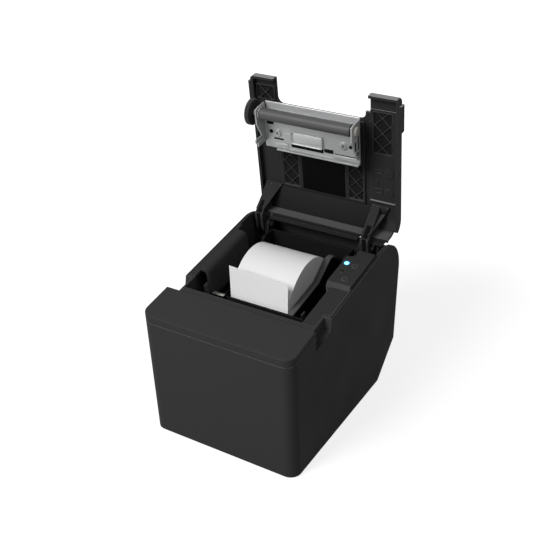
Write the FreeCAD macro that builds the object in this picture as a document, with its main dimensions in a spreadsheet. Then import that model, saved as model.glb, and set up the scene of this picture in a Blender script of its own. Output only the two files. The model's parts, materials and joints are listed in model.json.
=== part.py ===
import FreeCAD, Part
import Sketcher
import math
import os

# Receipt printer with its lid standing open, in millimetres.
# X runs to the printer's right, Y from front to back, Z up; Z is zero under the feet.

doc = FreeCAD.newDocument("receipt_printer")
sheet = doc.addObject("Spreadsheet::Sheet", "dims")

driving_sizes = [
    # case
    ("case_width", 140.0), ("case_depth", 199.0), ("front_height", 119.2), ("front_setback", 7.9),
    ("top_slope", 10.0), ("band_depth", 7.4), ("rear_round", 34.0), ("undercut_height", 30.3),
    ("undercut_depth", 32.3), ("wall", 2.5), ("corner_round", 10.0), ("edge_round", 1.2), ("seam", 0.3),
    ("rear_opening", 9.8), ("bridge_lead", 3.5), ("fit_gap", 0.3), ("running_gap", 0.05),
    # finger scoops in the sides
    ("scoop_depth", 6.5), ("scoop_from_hinge", 140.7), ("scoop_length", 27.0), ("scoop_low", 105.5),
    ("scoop_rise", 6.5), ("scoop_toe", 24.0), ("scoop_wall", 1.7),
    # front top cover
    ("cover_reach", 140.6), ("ledge_reach", 127.5), ("ledge_inset", 8.5),
    # underside
    ("foot_height", 1.2), ("foot_radius", 7.0), ("foot_inset", 18.0), ("foot_front", 26.0), ("foot_from_back", 51.0),
    ("screw_radius", 1.5), ("screw_head_radius", 3.0), ("screw_head_height", 1.2), ("screw_inset", 10.0),
    ("case_screw_length", 8.0), ("screw_front", 44.0), ("screw_from_back", 67.0),
    ("standoff_radius", 3.0), ("standoff_height", 4.0),
    # hinge and lid
    ("hinge_from_back", 20.0), ("hinge_below_top", 21.5), ("lid_open", 91.3), ("pin_radius", 3.0),
    ("knuckle_radius", 8.8), ("left_arm_inset", 9.8), ("right_arm_inset", 22.4), ("arm_width", 8.0),
    ("arm_plate", 2.2), ("arm_reach", 34.0), ("arm_low", 8.8), ("arm_heel", 13.5), ("arm_tip", 17.0),
    ("post_width", 3.5), ("post_half", 6.0), ("post_gap", 0.6),
    ("lid_reach", 140.0), ("lid_wall", 2.4), ("lip_start", 10.6), ("lip_inset", 4.0),
    ("lid_rear_round", 14.0), ("ear_round", 3.0), ("mouth_bottom", 115.5), ("mouth_left_inset", 23.0),
    ("mouth_right_inset", 32.0), ("mouth_step", 123.0), ("mouth_step_width", 4.5), ("mouth_round", 6.0),
    ("tab_width", 2.3), ("tab_start", 111.0), ("tab_length", 24.0), ("tab_drop", 1.5),
    # plates inside the lid
    ("frame_left_inset", 22.5), ("frame_right_inset", 33.0), ("frame_start", 33.0), ("frame_end", 113.5),
    ("frame_thickness", 1.6), ("window_start", 35.5), ("window_length", 36.0),
    ("window_left_inset", 25.0), ("window_left_width", 16.5), ("window_right_inset", 49.0), ("window_right_width", 14.5),
    ("plate_margin", 3.5), ("plate_thickness", 0.5),
    ("key_plate_left_inset", 28.5), ("key_plate_start", 38.0), ("key_plate_end", 127.0),
    ("key_plate_thickness", 0.9), ("key_window_start", 86.0), ("key_window_length", 39.5),
    ("key_window_margin", 3.2), ("key_radius", 3.3), ("key_height", 0.6),
    # platen unit
    ("platen_reach", 115.5), ("platen_drop", 3.0), ("roller_radius", 5.25), ("roller_left_inset", 20.0),
    ("roller_right_inset", 34.5), ("shaft_radius", 2.5), ("bush_radius", 4.0), ("bush_flange", 5.2),
    ("flange_width", 1.0), ("gear_left_inset", 8.8), ("gear_width", 4.0), ("gear_radius", 11.5),
    ("gear_teeth", 37.0), ("tooth_height", 1.0),
    ("bracket_left_inset", 17.0), ("bracket_right_inset", 31.0), ("sheet_metal", 1.2), ("bracket_start", 80.0),
    ("bracket_end", 112.5), ("bracket_level", 4.5), ("cheek_start", 86.0), ("cheek_end", 122.0),
    ("cheek_low", 9.5), ("hook_start", 90.5), ("hook_width", 3.5), ("hook_low", 13.0), ("hook_pitch", 4.6),
    ("lower_flange", 4.0), ("boss_radius", 3.5), ("boss_reach", 95.0), ("boss_left_inset", 30.0), ("boss_right_inset", 46.0),
    ("bracket_screw_length", 8.0), ("pad_left_inset", 36.0), ("pad_width", 37.0), ("pad_start", 87.0),
    ("pad_length", 9.5), ("pad_height", 0.8),
    ("blade_level", 7.2), ("blade_thickness", 1.2), ("fixed_blade_start", 112.6), ("fixed_blade_edge", 122.4),
    ("wire_radius", 0.45), ("wire_foot", 98.0), ("wire_inset", 2.25),
    # paper and paper well
    ("roll_from_hinge", 48.1), ("roll_height", 90.6), ("roll_radius", 38.6), ("roll_side_gap", 4.8),
    ("roll_width", 57.5), ("core_radius", 9.0), ("core_bore", 6.3), ("sheet_top", 128.0), ("sheet_tail", 4.0),
    ("sheet_thickness", 0.25), ("well_radius", 42.5), ("well_left_inset", 22.5), ("well_right_inset", 36.5),
    ("well_wall", 2.0), ("well_front_rim", 98.0), ("well_rear_rim", 125.5), ("well_foot_half", 27.0),
    ("divider_gap", 1.4), ("divider_thickness", 3.0), ("deck_level", 111.0),
    # inner covers and control panel
    ("cover_level_drop", 0.3), ("cover_side_gap", 0.3), ("left_cover_inner_inset", 14.5), ("left_cover_start", 29.5),
    ("left_cover_end", 101.0), ("left_strip_inner_inset", 7.4), ("cover_round", 5.0),
    ("cover_skirt", 30.0), ("right_cover_inner_inset", 19.5), ("arm_slot_end", 37.5), ("arm_slot_gap", 0.9),
    ("panel_left_inset", 24.0), ("panel_start", 27.0), ("panel_end", 74.4), ("panel_bevel", 3.4),
    ("panel_level", 16.6), ("panel_wall", 2.0), ("button_side_inset", 11.5), ("power_reach", 48.8),
    ("feed_reach", 67.8), ("button_radius", 3.0), ("button_gap", 0.15), ("button_rise", 0.4),
    ("button_stem", 5.0), ("lamp_side_inset", 19.8), ("lamp_reach", 47.3), ("lamp_radius", 2.0),
    ("lamp_window_side_inset", 18.5), ("lamp_window_reach", 58.5), ("lamp_rise", 0.2), ("lamp_stem", 4.0),
    ("board_thickness", 1.4), ("board_level", 10.0),
    # printing mechanism
    ("frame_gap", 1.0), ("mech_start", 106.0), ("mech_end", 136.0), ("mech_low", 34.0), ("mech_high", 5.5),
    ("leg_far", 137.0), ("leg_near", 107.0), ("leg_top", 84.0), ("head_thickness", 3.0), ("head_low", 18.0), ("head_high", 3.0),
    ("paper_gap", 0.3), ("sink_thickness", 6.0), ("fin_width", 3.0), ("fin_pitch", 9.0),
    ("spring_thickness", 0.8), ("spring_width", 24.0),
    ("housing_start", 124.6), ("housing_height", 5.0),
    ("cutter_left_inset", 24.0), ("cutter_right_inset", 38.0), ("cutter_edge", 125.4), ("cutter_depth", 10.6),
    ("cutter_vee", 3.0), ("cutter_gap", 0.2), ("rack_left_inset", 50.0), ("rack_width", 4.0), ("rack_length", 13.0),
    ("pinion_radius", 4.0), ("motor_radius", 6.0), ("motor_length", 24.0),
    ("feed_motor_radius", 14.0), ("feed_motor_length", 17.0), ("feed_from_hinge", 134.0), ("feed_height", 56.0),
    ("feed_pinion_radius", 5.0), ("stud_radius", 1.5), ("idler_gap", 0.4), ("feed_teeth", 16.0),
    ("idler_teeth", 57.0), ("cutter_teeth", 14.0),
    # electronics and connectors
    ("main_board_left_inset", 26.0), ("main_board_right_inset", 40.0), ("board_far", 117.0), ("board_near", 23.0),
    ("connector_inset", 20.5), ("window_low", 35.5), ("window_height", 28.0), ("tray_rim", 2.5), ("tray_recess", 2.0),
    ("port_level", 43.0), ("port_depth", 14.0), ("port_wall", 1.4),
    ("inlet_left", -34.0), ("inlet_size", 15.0), ("inlet_bore", 5.2), ("data_left", -6.0), ("data_width", 12.5),
    ("data_height", 11.5), ("drawer_left", 20.0), ("drawer_width", 14.0), ("drawer_height", 13.0),
    ("socket_depth", 9.0), ("sensor_width", 3.0), ("sensor_length", 12.0), ("switch_reach", 104.0),
]

for row, (alias, value) in enumerate(driving_sizes, start=1):
    sheet.set("A%d" % row, alias)
    sheet.set("B%d" % row, str(value))
    sheet.setAlias("B%d" % row, alias)
doc.recompute()


class Size:
    # A number kept together with the sheet expression that gives it.
    def __init__(self, value, text):
        self.value = value
        self.text = text

    def __add__(self, other):
        other = as_size(other)
        return Size(self.value + other.value, "(%s + %s)" % (self.text, other.text))

    def __sub__(self, other):
        other = as_size(other)
        return Size(self.value - other.value, "(%s - %s)" % (self.text, other.text))

    def __mul__(self, other):
        other = as_size(other)
        return Size(self.value * other.value, "(%s * %s)" % (self.text, other.text))

    def __truediv__(self, other):
        other = as_size(other)
        return Size(self.value / other.value, "(%s / %s)" % (self.text, other.text))

    def __neg__(self):
        return Size(-self.value, "(0 - %s)" % self.text)

    __radd__ = __add__

    def __rsub__(self, other):
        return as_size(other) - self

    __rmul__ = __mul__


class SheetSizes:
    def __getattr__(self, alias):
        return Size(float(sheet.get(alias)), "dims." + alias)


def as_size(number):
    if isinstance(number, Size):
        return number
    return Size(float(number), repr(float(number)))


def cosine(angle):
    return Size(math.cos(math.radians(angle.value)), "cos(%s * 1 deg)" % angle.text)


def sine(angle):
    return Size(math.sin(math.radians(angle.value)), "sin(%s * 1 deg)" % angle.text)


def tangent(angle):
    return Size(math.tan(math.radians(angle.value)), "tan(%s * 1 deg)" % angle.text)


def root(number):
    return Size(math.sqrt(number.value), "sqrt(%s)" % number.text)


def bind(thing, path, size):
    thing.setExpression(path, as_size(size).text)


class Frame:
    # A frame turned about X: local Y and Z are given in it and placed in the printer.
    def __init__(self, y, z, angle=None):
        self.y = as_size(y)
        self.z = as_size(z)
        self.angle = angle

    def point(self, y, z):
        if self.angle is None:
            return self.y + y, self.z + z
        turn_cos = cosine(self.angle)
        turn_sin = sine(self.angle)
        return self.y + turn_cos * y - turn_sin * z, self.z + turn_sin * y + turn_cos * z

    def place(self, thing, x=0, y=0, z=0):
        world_y, world_z = self.point(as_size(y), as_size(z))
        turn = 0.0 if self.angle is None else self.angle.value
        thing.Placement = FreeCAD.Placement(
            FreeCAD.Vector(as_size(x).value, world_y.value, world_z.value),
            FreeCAD.Rotation(FreeCAD.Vector(1, 0, 0), turn),
        )
        bind(thing, ".Placement.Base.x", x)
        bind(thing, ".Placement.Base.y", world_y)
        bind(thing, ".Placement.Base.z", world_z)
        if self.angle is not None:
            bind(thing, ".Placement.Rotation.Angle", self.angle)


def block(label, frame, x_span, y_span, z_span):
    thing = doc.addObject("Part::Box", label)
    for name, span in (("Length", x_span), ("Width", y_span), ("Height", z_span)):
        length = as_size(span[1]) - span[0]
        setattr(thing, name, length.value)
        bind(thing, name, length)
    frame.place(thing, x_span[0], y_span[0], z_span[0])
    return thing


def reach(near, far):
    # Distances from the hinge toward the front run against local Y.
    return -as_size(far), -as_size(near)


def cross_rod(label, frame, x_span, y, z, radius):
    # A round bar along X.
    thing = doc.addObject("Part::Cylinder", label)
    length = as_size(x_span[1]) - x_span[0]
    thing.Radius = as_size(radius).value
    thing.Height = length.value
    bind(thing, "Radius", radius)
    bind(thing, "Height", length)
    world_y, world_z = frame.point(as_size(y), as_size(z))
    thing.Placement = FreeCAD.Placement(
        FreeCAD.Vector(as_size(x_span[0]).value, world_y.value, world_z.value),
        FreeCAD.Rotation(FreeCAD.Vector(0, 1, 0), 90),
    )
    bind(thing, ".Placement.Base.x", x_span[0])
    bind(thing, ".Placement.Base.y", world_y)
    bind(thing, ".Placement.Base.z", world_z)
    return thing


def post(label, frame, x, y, z_span, radius):
    # A round bar along the frame's own Z.
    thing = doc.addObject("Part::Cylinder", label)
    height = as_size(z_span[1]) - z_span[0]
    thing.Radius = as_size(radius).value
    thing.Height = height.value
    bind(thing, "Radius", radius)
    bind(thing, "Height", height)
    frame.place(thing, x, y, z_span[0])
    return thing


def prism(label, frame, plane, outline, start, length):
    # A padded outline: each corner of its sketch is held by two bound distances.
    body = doc.addObject("PartDesign::Body", label)
    sketch = body.newObject("Sketcher::SketchObject", label + "_outline")
    support = [item for item in body.Origin.OriginFeatures if item.Role == plane][0]
    sketch.AttachmentSupport = (support, [""])
    sketch.MapMode = "FlatFace"
    start = as_size(start)
    sketch.AttachmentOffset = FreeCAD.Placement(FreeCAD.Vector(0, 0, start.value), FreeCAD.Rotation())
    bind(sketch, ".AttachmentOffset.Base.z", start)
    corners = [(as_size(across), as_size(up)) for across, up in outline]
    spots = [FreeCAD.Vector(across.value, up.value, 0) for across, up in corners]
    count = len(corners)
    for index in range(count):
        sketch.addGeometry(Part.LineSegment(spots[index], spots[(index + 1) % count]), False)
    for index in range(count):
        sketch.addConstraint(Sketcher.Constraint("Coincident", index, 2, (index + 1) % count, 1))
    for index, corner in enumerate(corners):
        for kind, distance in zip(("DistanceX", "DistanceY"), corner):
            number = sketch.addConstraint(Sketcher.Constraint(kind, -1, 1, index, 1, distance.value))
            bind(sketch, "Constraints[%d]" % number, distance)
    pad = body.newObject("PartDesign::Pad", label + "_pad")
    pad.Profile = sketch
    length = as_size(length)
    pad.Length = length.value
    bind(pad, "Length", length)
    sketch.Visibility = False
    frame.place(body)
    return body


def rounded(body, radius, chosen):
    # Rounds those edges of the body's last feature that the test picks.
    doc.recompute()
    feature = body.Tip
    edges = ["Edge%d" % (index + 1) for index, edge in enumerate(feature.Shape.Edges) if chosen(edge)]
    fillet = body.newObject("PartDesign::Fillet", body.Label + "_round")
    fillet.Base = (feature, edges)
    fillet.Radius = radius.value
    bind(fillet, "Radius", radius)
    return body


def fused(label, things):
    thing = doc.addObject("Part::MultiFuse", label)
    thing.Shapes = things
    return thing


def carved(label, base, tools):
    thing = doc.addObject("Part::Cut", label)
    thing.Base = base
    thing.Tool = tools[0] if len(tools) == 1 else fused(label + "_tools", tools)
    return thing


def common(label, first, second):
    thing = doc.addObject("Part::Common", label)
    thing.Base = first
    thing.Tool = second
    return thing


def toothed_outline(radius, tooth, teeth):
    # Corners of a spur wheel: four to a tooth, tip and root each with a flat.
    corners = []
    for tooth_index in range(teeth):
        for share, depth in ((0.10, tooth), (0.32, 0.0), (0.58, 0.0), (0.80, tooth)):
            angle = 2.0 * math.pi * (tooth_index + share) / teeth
            corners.append((math.cos(angle) * (radius - depth), math.sin(angle) * (radius - depth)))
    return corners


def wheel(label, radius, tooth, teeth, width, bore):
    # A spur wheel lying on XY with its axle hole, grown upward by its width.
    corners = [FreeCAD.Vector(across, up, 0) for across, up in toothed_outline(radius, tooth, int(teeth))]
    rim = Part.Face(Part.makePolygon(corners + corners[:1]))
    solid = rim.extrude(FreeCAD.Vector(0, 0, width))
    if bore > 0:
        solid = solid.cut(Part.makeCylinder(bore, width))
    thing = doc.addObject("Part::Feature", label)
    thing.Shape = solid
    return thing


def put_across(thing, frame, x, y, z):
    # Turns a wheel's axle to X and sets its left face at x.
    world_y, world_z = frame.point(as_size(y), as_size(z))
    thing.Placement = FreeCAD.Placement(
        FreeCAD.Vector(as_size(x).value, world_y.value, world_z.value),
        FreeCAD.Rotation(FreeCAD.Vector(0, 1, 0), 90),
    )
    bind(thing, ".Placement.Base.x", x)
    bind(thing, ".Placement.Base.y", world_y)
    bind(thing, ".Placement.Base.z", world_z)


def along(edge, axis):
    # True where a straight edge runs along that axis: 0 for X, 1 for Y, 2 for Z.
    first, last = edge.Vertexes[0].Point, edge.Vertexes[-1].Point
    run = last - first
    return run.Length > 1e-6 and abs(abs((run.x, run.y, run.z)[axis]) - run.Length) < 1e-6


def middle(edge):
    return edge.valueAt((edge.FirstParameter + edge.LastParameter) / 2.0)


d = SheetSizes()

# Shared places
half_width = d.case_width / 2
front_y = -(d.case_depth / 2)
floor_z = d.foot_height
slope_tan = tangent(d.top_slope)
slope_cos = cosine(d.top_slope)
case = Frame(front_y, floor_z)
world = Frame(0, 0)
hinge_run = d.case_depth - d.hinge_from_back
hinge_rise = d.front_height + hinge_run * slope_tan - d.hinge_below_top / slope_cos
hinge_y, hinge_z = case.point(hinge_run, hinge_rise)
closed = Frame(hinge_y, hinge_z, d.top_slope)
opened = Frame(hinge_y, hinge_z, d.top_slope - d.lid_open)
case_hinge = Frame(hinge_run, hinge_rise, d.top_slope)
top_level = d.hinge_below_top
band_level = top_level - d.band_depth
inner_half = half_width - d.wall
cover_half = inner_half - d.cover_side_gap

# Places that follow the sides, the hinge and the back
bracket_right = half_width - d.bracket_right_inset
roller_right = half_width - d.roller_right_inset
mouth_right = half_width - d.mouth_right_inset
frame_right = half_width - d.frame_right_inset
window_right = half_width - d.window_right_inset
boss_right = half_width - d.boss_right_inset
cutter_right = half_width - d.cutter_right_inset
rack_left = half_width - d.rack_left_inset
well_right = half_width - d.well_right_inset
right_cover_inner = half_width - d.right_cover_inner_inset
panel_left = half_width - d.panel_left_inset
button_side = half_width - d.button_side_inset
lamp_side = half_width - d.lamp_side_inset
lamp_window_side = half_width - d.lamp_window_side_inset
key_plate_left = half_width - d.key_plate_left_inset
main_board_right = half_width - d.main_board_right_inset
bracket_left = d.bracket_left_inset - half_width
roller_left = d.roller_left_inset - half_width
mouth_left = d.mouth_left_inset - half_width
frame_left = d.frame_left_inset - half_width
window_left = d.window_left_inset - half_width
boss_left = d.boss_left_inset - half_width
cutter_left = d.cutter_left_inset - half_width
well_left = d.well_left_inset - half_width
left_cover_inner = d.left_cover_inner_inset - half_width
left_strip_inner = d.left_strip_inner_inset - half_width
gear_left = d.gear_left_inset - half_width
pad_left = d.pad_left_inset - half_width
main_board_left = d.main_board_left_inset - half_width
ledge_half_width = half_width - d.ledge_inset
lip_half_width = half_width - d.lip_inset
window_half = half_width - d.connector_inset
scoop_front = hinge_run - d.scoop_from_hinge
roll_from_front = hinge_run - d.roll_from_hinge
leg_front = hinge_run - d.leg_far
leg_rear = hinge_run - d.leg_near
feed_from_front = hinge_run - d.feed_from_hinge
main_board_front = hinge_run - d.board_far
main_board_rear = hinge_run - d.board_near
foot_rear = d.case_depth - d.foot_from_back
screw_rear = d.case_depth - d.screw_from_back
wire_side = bracket_right - d.wire_inset
roll_left = well_left + d.roll_side_gap
divider_left = roll_left + d.roll_width + d.divider_gap
plate_left = window_left + d.window_left_width + d.plate_margin
plate_width = window_right - d.plate_margin - plate_left


def slope_height(run, drop):
    # Height on a plane lying below the sloped top by that drop.
    return d.front_height - as_size(drop) / slope_cos + run * slope_tan


def front_corner(drop):
    # Where the leaning front meets such a plane.
    lean = d.front_setback / d.front_height
    height = (slope_height(as_size(0), drop) + d.front_setback * slope_tan) / (1 + lean * slope_tan)
    return d.front_setback - lean * height, height


# Main case
seam_front, seam_height = front_corner(d.band_depth)
undercut_run = d.case_depth - d.undercut_depth
undercut_length = root(d.undercut_depth * d.undercut_depth + d.undercut_height * d.undercut_height)
inner_undercut = undercut_run - d.wall * undercut_length / d.undercut_height
inner_back = d.case_depth - d.wall


def at_side(edge, half):
    return abs(abs(middle(edge).x) - half.value) < 1e-3


case_outer = prism(
    "case_outer", case, "YZ_Plane",
    [
        (d.front_setback, 0), (seam_front, seam_height), (d.case_depth, slope_height(d.case_depth, d.band_depth)),
        (d.case_depth, d.undercut_height), (undercut_run, 0),
    ],
    -half_width, d.case_width,
)
rounded(
    case_outer, d.rear_round,
    lambda edge: along(edge, 0) and middle(edge).z > d.front_height.value and middle(edge).y > d.case_depth.value / 2,
)
rounded(
    case_outer, d.corner_round,
    lambda edge: at_side(edge, half_width) and middle(edge).y < d.front_setback.value
    and 0.2 * d.front_height.value < middle(edge).z < 0.8 * d.front_height.value,
)
inner_drop = d.band_depth + d.wall
case_inner = prism(
    "case_inner", case, "YZ_Plane",
    [
        (d.front_setback + d.wall, -d.wall),
        (seam_front + d.wall, slope_height(seam_front + d.wall, inner_drop)),
        (inner_back, slope_height(inner_back, inner_drop)),
        (inner_back, (inner_back - inner_undercut) * d.undercut_height / d.undercut_depth),
        (inner_undercut - d.wall * d.undercut_depth / d.undercut_height, -d.wall),
    ],
    -inner_half, inner_half * 2,
)
rounded(
    case_inner, d.rear_round - d.wall,
    lambda edge: along(edge, 0) and middle(edge).z > d.front_height.value and middle(edge).y > d.case_depth.value / 2,
)
rounded(
    case_inner, d.corner_round - d.wall,
    lambda edge: at_side(edge, inner_half) and middle(edge).y < (d.front_setback + d.wall).value
    and 0.2 * d.front_height.value < middle(edge).z < 0.8 * d.front_height.value,
)
rear_edge = d.case_depth - d.rear_opening
mouth_half = inner_half - d.seam
mouth_front = seam_front + d.wall + d.seam
bridge_front = hinge_run - d.bridge_lead
bridge_gap = d.arm_width / 2 + d.post_gap + d.post_width + d.fit_gap
bridge_left = d.left_arm_inset - half_width + bridge_gap
bridge_right = half_width - d.right_arm_inset - bridge_gap
case_mouth = prism(
    "case_mouth", case, "XY_Plane",
    [
        (-mouth_half, mouth_front), (mouth_half, mouth_front), (mouth_half, rear_edge), (bridge_right, rear_edge),
        (bridge_right, bridge_front), (bridge_left, bridge_front), (bridge_left, rear_edge), (-mouth_half, rear_edge),
    ],
    d.front_height - d.band_depth - d.wall * 2, d.front_height / 2,
)
rounded(
    case_mouth, d.corner_round - d.wall,
    lambda edge: along(edge, 2) and middle(edge).y < d.case_depth.value / 2,
)
case_shell = carved("case_shell", case_outer, [case_inner, case_mouth])

scoop_back = scoop_front + d.scoop_length
scoop_pods = []
scoop_cuts = []
for side, name in ((-1, "left"), (1, "right")):
    pod_in = half_width - d.scoop_depth - d.scoop_wall
    pod_out = half_width - d.wall / 2
    pod_start = pod_in if side > 0 else -pod_out
    pod_front = scoop_front - d.scoop_wall
    pod_back = scoop_back + d.scoop_wall
    scoop_pods.append(prism(
        "scoop_pod_" + name, case, "YZ_Plane",
        [
            (pod_front, d.scoop_low - d.scoop_wall), (pod_back, d.scoop_low + d.scoop_rise - d.scoop_wall),
            (pod_back, slope_height(pod_back, d.band_depth)), (pod_front, slope_height(pod_front, d.band_depth)),
        ],
        pod_start, pod_out - pod_in,
    ))
    cut_in = half_width - d.scoop_depth
    cut_out = half_width + d.wall
    cut_start = cut_in if side > 0 else -cut_out
    scoop_cuts.append(prism(
        "scoop_cut_" + name, case, "YZ_Plane",
        [
            (scoop_front, d.scoop_low), (scoop_front + d.scoop_toe, d.scoop_low + d.scoop_rise),
            (scoop_back, slope_height(scoop_back, 0)), (scoop_front, slope_height(scoop_front, 0)),
        ],
        cut_start, cut_out - cut_in,
    ))
connector_window = block(
    "connector_window", case, (-window_half, window_half), (inner_back - d.wall, d.case_depth + d.wall),
    (d.window_low, d.window_low + d.window_height),
)
main_case = carved(
    "main_case", fused("case_with_pods", [case_shell] + scoop_pods), scoop_cuts + [connector_window],
)

# Front top cover with its ledge
brim_front, brim_height = front_corner(d.band_depth - d.seam)
cover_top = case_hinge.point(-d.cover_reach, top_level)
cover_heel = case_hinge.point(-d.cover_reach, band_level + d.seam)
cover_outer = prism(
    "cover_outer", case, "YZ_Plane",
    [(brim_front, brim_height), (0, d.front_height), cover_top, cover_heel],
    -half_width, d.case_width,
)
rounded(
    cover_outer, d.corner_round,
    lambda edge: at_side(edge, half_width) and middle(edge).y < d.front_setback.value / 4
    and not along(edge, 0),
)
rounded(
    cover_outer, d.edge_round,
    lambda edge: abs(middle(edge).z - slope_height(as_size(0), 0).value - middle(edge).y * slope_tan.value) < 1e-3
    and abs(middle(edge).y - cover_top[0].value) > 1e-3,
)
inner_top = d.cover_reach + d.wall
brow_front = brim_front + d.wall
cover_inner = prism(
    "cover_inner", case, "YZ_Plane",
    [
        (brow_front, slope_height(brow_front, d.band_depth + d.wall)), (brow_front, slope_height(brow_front, d.wall)),
        case_hinge.point(-inner_top, top_level - d.wall), case_hinge.point(-inner_top, band_level - d.wall),
    ],
    -inner_half, inner_half * 2,
)
rounded(
    cover_inner, d.corner_round - d.wall,
    lambda edge: at_side(edge, inner_half) and along(edge, 2),
)
cover_shell = carved("cover_shell", cover_outer, [cover_inner])
ledge = block(
    "ledge", closed, (-ledge_half_width, ledge_half_width), reach(d.ledge_reach, inner_top),
    (band_level - d.wall, band_level),
)
ledge_riser = block(
    "ledge_riser", closed, (-ledge_half_width, ledge_half_width), reach(d.cover_reach, inner_top),
    (band_level - d.wall / 2, top_level - d.wall / 2),
)
front_top_cover = fused("front_top_cover", [cover_shell, ledge, ledge_riser])

# Bottom cover, feet and case screws
plate_half = inner_half - d.fit_gap
plate_front = d.front_setback + d.wall + d.fit_gap
plate_rear = inner_undercut - d.fit_gap
bottom_plate = prism(
    "bottom_plate", case, "XY_Plane",
    [(-plate_half, plate_front), (plate_half, plate_front), (plate_half, plate_rear), (-plate_half, plate_rear)],
    0, d.wall,
)
rounded(
    bottom_plate, d.corner_round - d.wall,
    lambda edge: along(edge, 2) and middle(edge).y < d.case_depth.value / 2,
)
foot_x = half_width - d.foot_inset
screw_x = half_width - d.screw_inset
standoffs = []
board_spots = [
    (side, run) for side in (main_board_left + d.standoff_radius, main_board_right - d.standoff_radius)
    for run in (main_board_front + d.standoff_radius, main_board_rear - d.standoff_radius)
]
for index, (side, run) in enumerate(board_spots):
    standoffs.append(post(
        "standoff_%d" % index, case, side, run, (d.wall / 2, d.wall + d.standoff_height), d.standoff_radius,
    ))
feet = []
for index, (side, run) in enumerate(
        (side, run) for side in (-foot_x, foot_x) for run in (d.foot_front, foot_rear)):
    feet.append(post("foot_%d" % index, world, side, front_y + run, (0, d.foot_height), d.foot_radius))
rubber_feet = fused("rubber_feet", feet)
case_screw_shanks = []
case_screw_sinks = []
case_screw_parts = []
for index, (side, run) in enumerate(
        (side, run) for side in (-screw_x, screw_x) for run in (d.screw_front, screw_rear)):
    case_screw_shanks.append(post(
        "screw_way_%d" % index, case, side, run, (-d.wall, d.wall * 2), d.screw_radius + d.running_gap,
    ))
    case_screw_sinks.append(post(
        "screw_sink_%d" % index, case, side, run, (-d.wall, d.screw_head_height), d.screw_head_radius + d.fit_gap,
    ))
    case_screw_parts.append(post(
        "screw_head_%d" % index, case, side, run, (0, d.screw_head_height), d.screw_head_radius,
    ))
    case_screw_parts.append(post(
        "screw_shank_%d" % index, case, side, run, (d.screw_head_height, d.case_screw_length), d.screw_radius,
    ))
bottom_cover = carved(
    "bottom_cover", fused("bottom_solid", [bottom_plate] + standoffs), case_screw_shanks + case_screw_sinks,
)
case_screws = fused("case_screws", case_screw_parts)

# Paper well
well_z = d.roll_height - d.roll_radius - d.fit_gap + d.well_radius
well_out = d.well_radius + d.well_wall
well_span = (well_left - d.well_wall, well_right + d.well_wall)
well_room = (well_left, well_right)
well_back = roll_from_front + well_out
well_feet = []
for name, side in (("left", well_left - d.well_wall), ("right", well_right)):
    well_feet.append(block(
        "well_foot_" + name, case, (side, side + d.well_wall),
        (roll_from_front - d.well_foot_half, roll_from_front + d.well_foot_half), (d.wall, well_z),
    ))
well_solid = fused("well_solid", [
    cross_rod("well_drum", case, well_span, roll_from_front, well_z, well_out),
    block("well_rear", case, well_span, (roll_from_front, well_back), (well_z, d.well_rear_rim)),
] + well_feet)
rim_run = roll_from_front + d.well_radius * 2 / 3
paper_well = carved("paper_well", well_solid, [
    cross_rod("well_bore", case, well_room, roll_from_front, well_z, d.well_radius),
    block(
        "well_room", case, well_room, (roll_from_front, roll_from_front + d.well_radius),
        (well_z, d.well_rear_rim + d.wall),
    ),
    prism(
        "well_rim_cut", case, "YZ_Plane",
        [
            (roll_from_front - well_out - d.wall, d.well_front_rim), (roll_from_front, d.well_front_rim),
            (rim_run, d.well_rear_rim), (well_back + d.wall, d.well_rear_rim),
            (well_back + d.wall, well_z + well_out + d.wall),
            (roll_from_front - well_out - d.wall, well_z + well_out + d.wall),
        ],
        well_span[0] - d.wall, well_span[1] - well_span[0] + d.wall * 2,
    ),
])

# Divider plate beside the roll
divider_span = (divider_left, divider_left + d.divider_thickness)
divider_radius = d.well_radius - d.fit_gap
divider_back = roll_from_front + divider_radius
roll_divider = common(
    "roll_divider",
    fused("divider_round", [
        cross_rod("divider_drum", case, divider_span, roll_from_front, well_z, divider_radius),
        block("divider_rear", case, divider_span, (roll_from_front, divider_back), (well_z, d.well_rear_rim)),
    ]),
    prism(
        "divider_rim", case, "YZ_Plane",
        [
            (roll_from_front - well_out, 0), (roll_from_front - well_out, d.well_front_rim - 1),
            (roll_from_front + 5, d.well_front_rim + 8), (roll_from_front + 26, d.well_rear_rim - 5.5),
            (roll_from_front + 36, d.well_rear_rim - 7), (divider_back, d.well_rear_rim - 14),
            (divider_back, 0),
        ],
        divider_span[0], d.divider_thickness,
    ),
)

# Paper roll, its core and the leading sheet
roll_span = (roll_left, roll_left + d.roll_width)
paper_roll = carved(
    "paper_roll", cross_rod("roll_body", case, roll_span, roll_from_front, d.roll_height, d.roll_radius),
    [cross_rod("roll_hole", case, roll_span, roll_from_front, d.roll_height, d.core_radius)],
)
roll_core = carved(
    "roll_core",
    cross_rod(
        "core_body", case, roll_span, roll_from_front, d.roll_height, d.core_radius - d.running_gap,
    ),
    [cross_rod("core_hole", case, roll_span, roll_from_front, d.roll_height, d.core_bore)],
)
sheet_back = roll_from_front - d.roll_radius - d.paper_gap
paper_sheet = block(
    "paper_sheet", case, roll_span, (sheet_back - d.sheet_thickness, sheet_back),
    (d.roll_height - d.sheet_tail, d.sheet_top),
)

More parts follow.
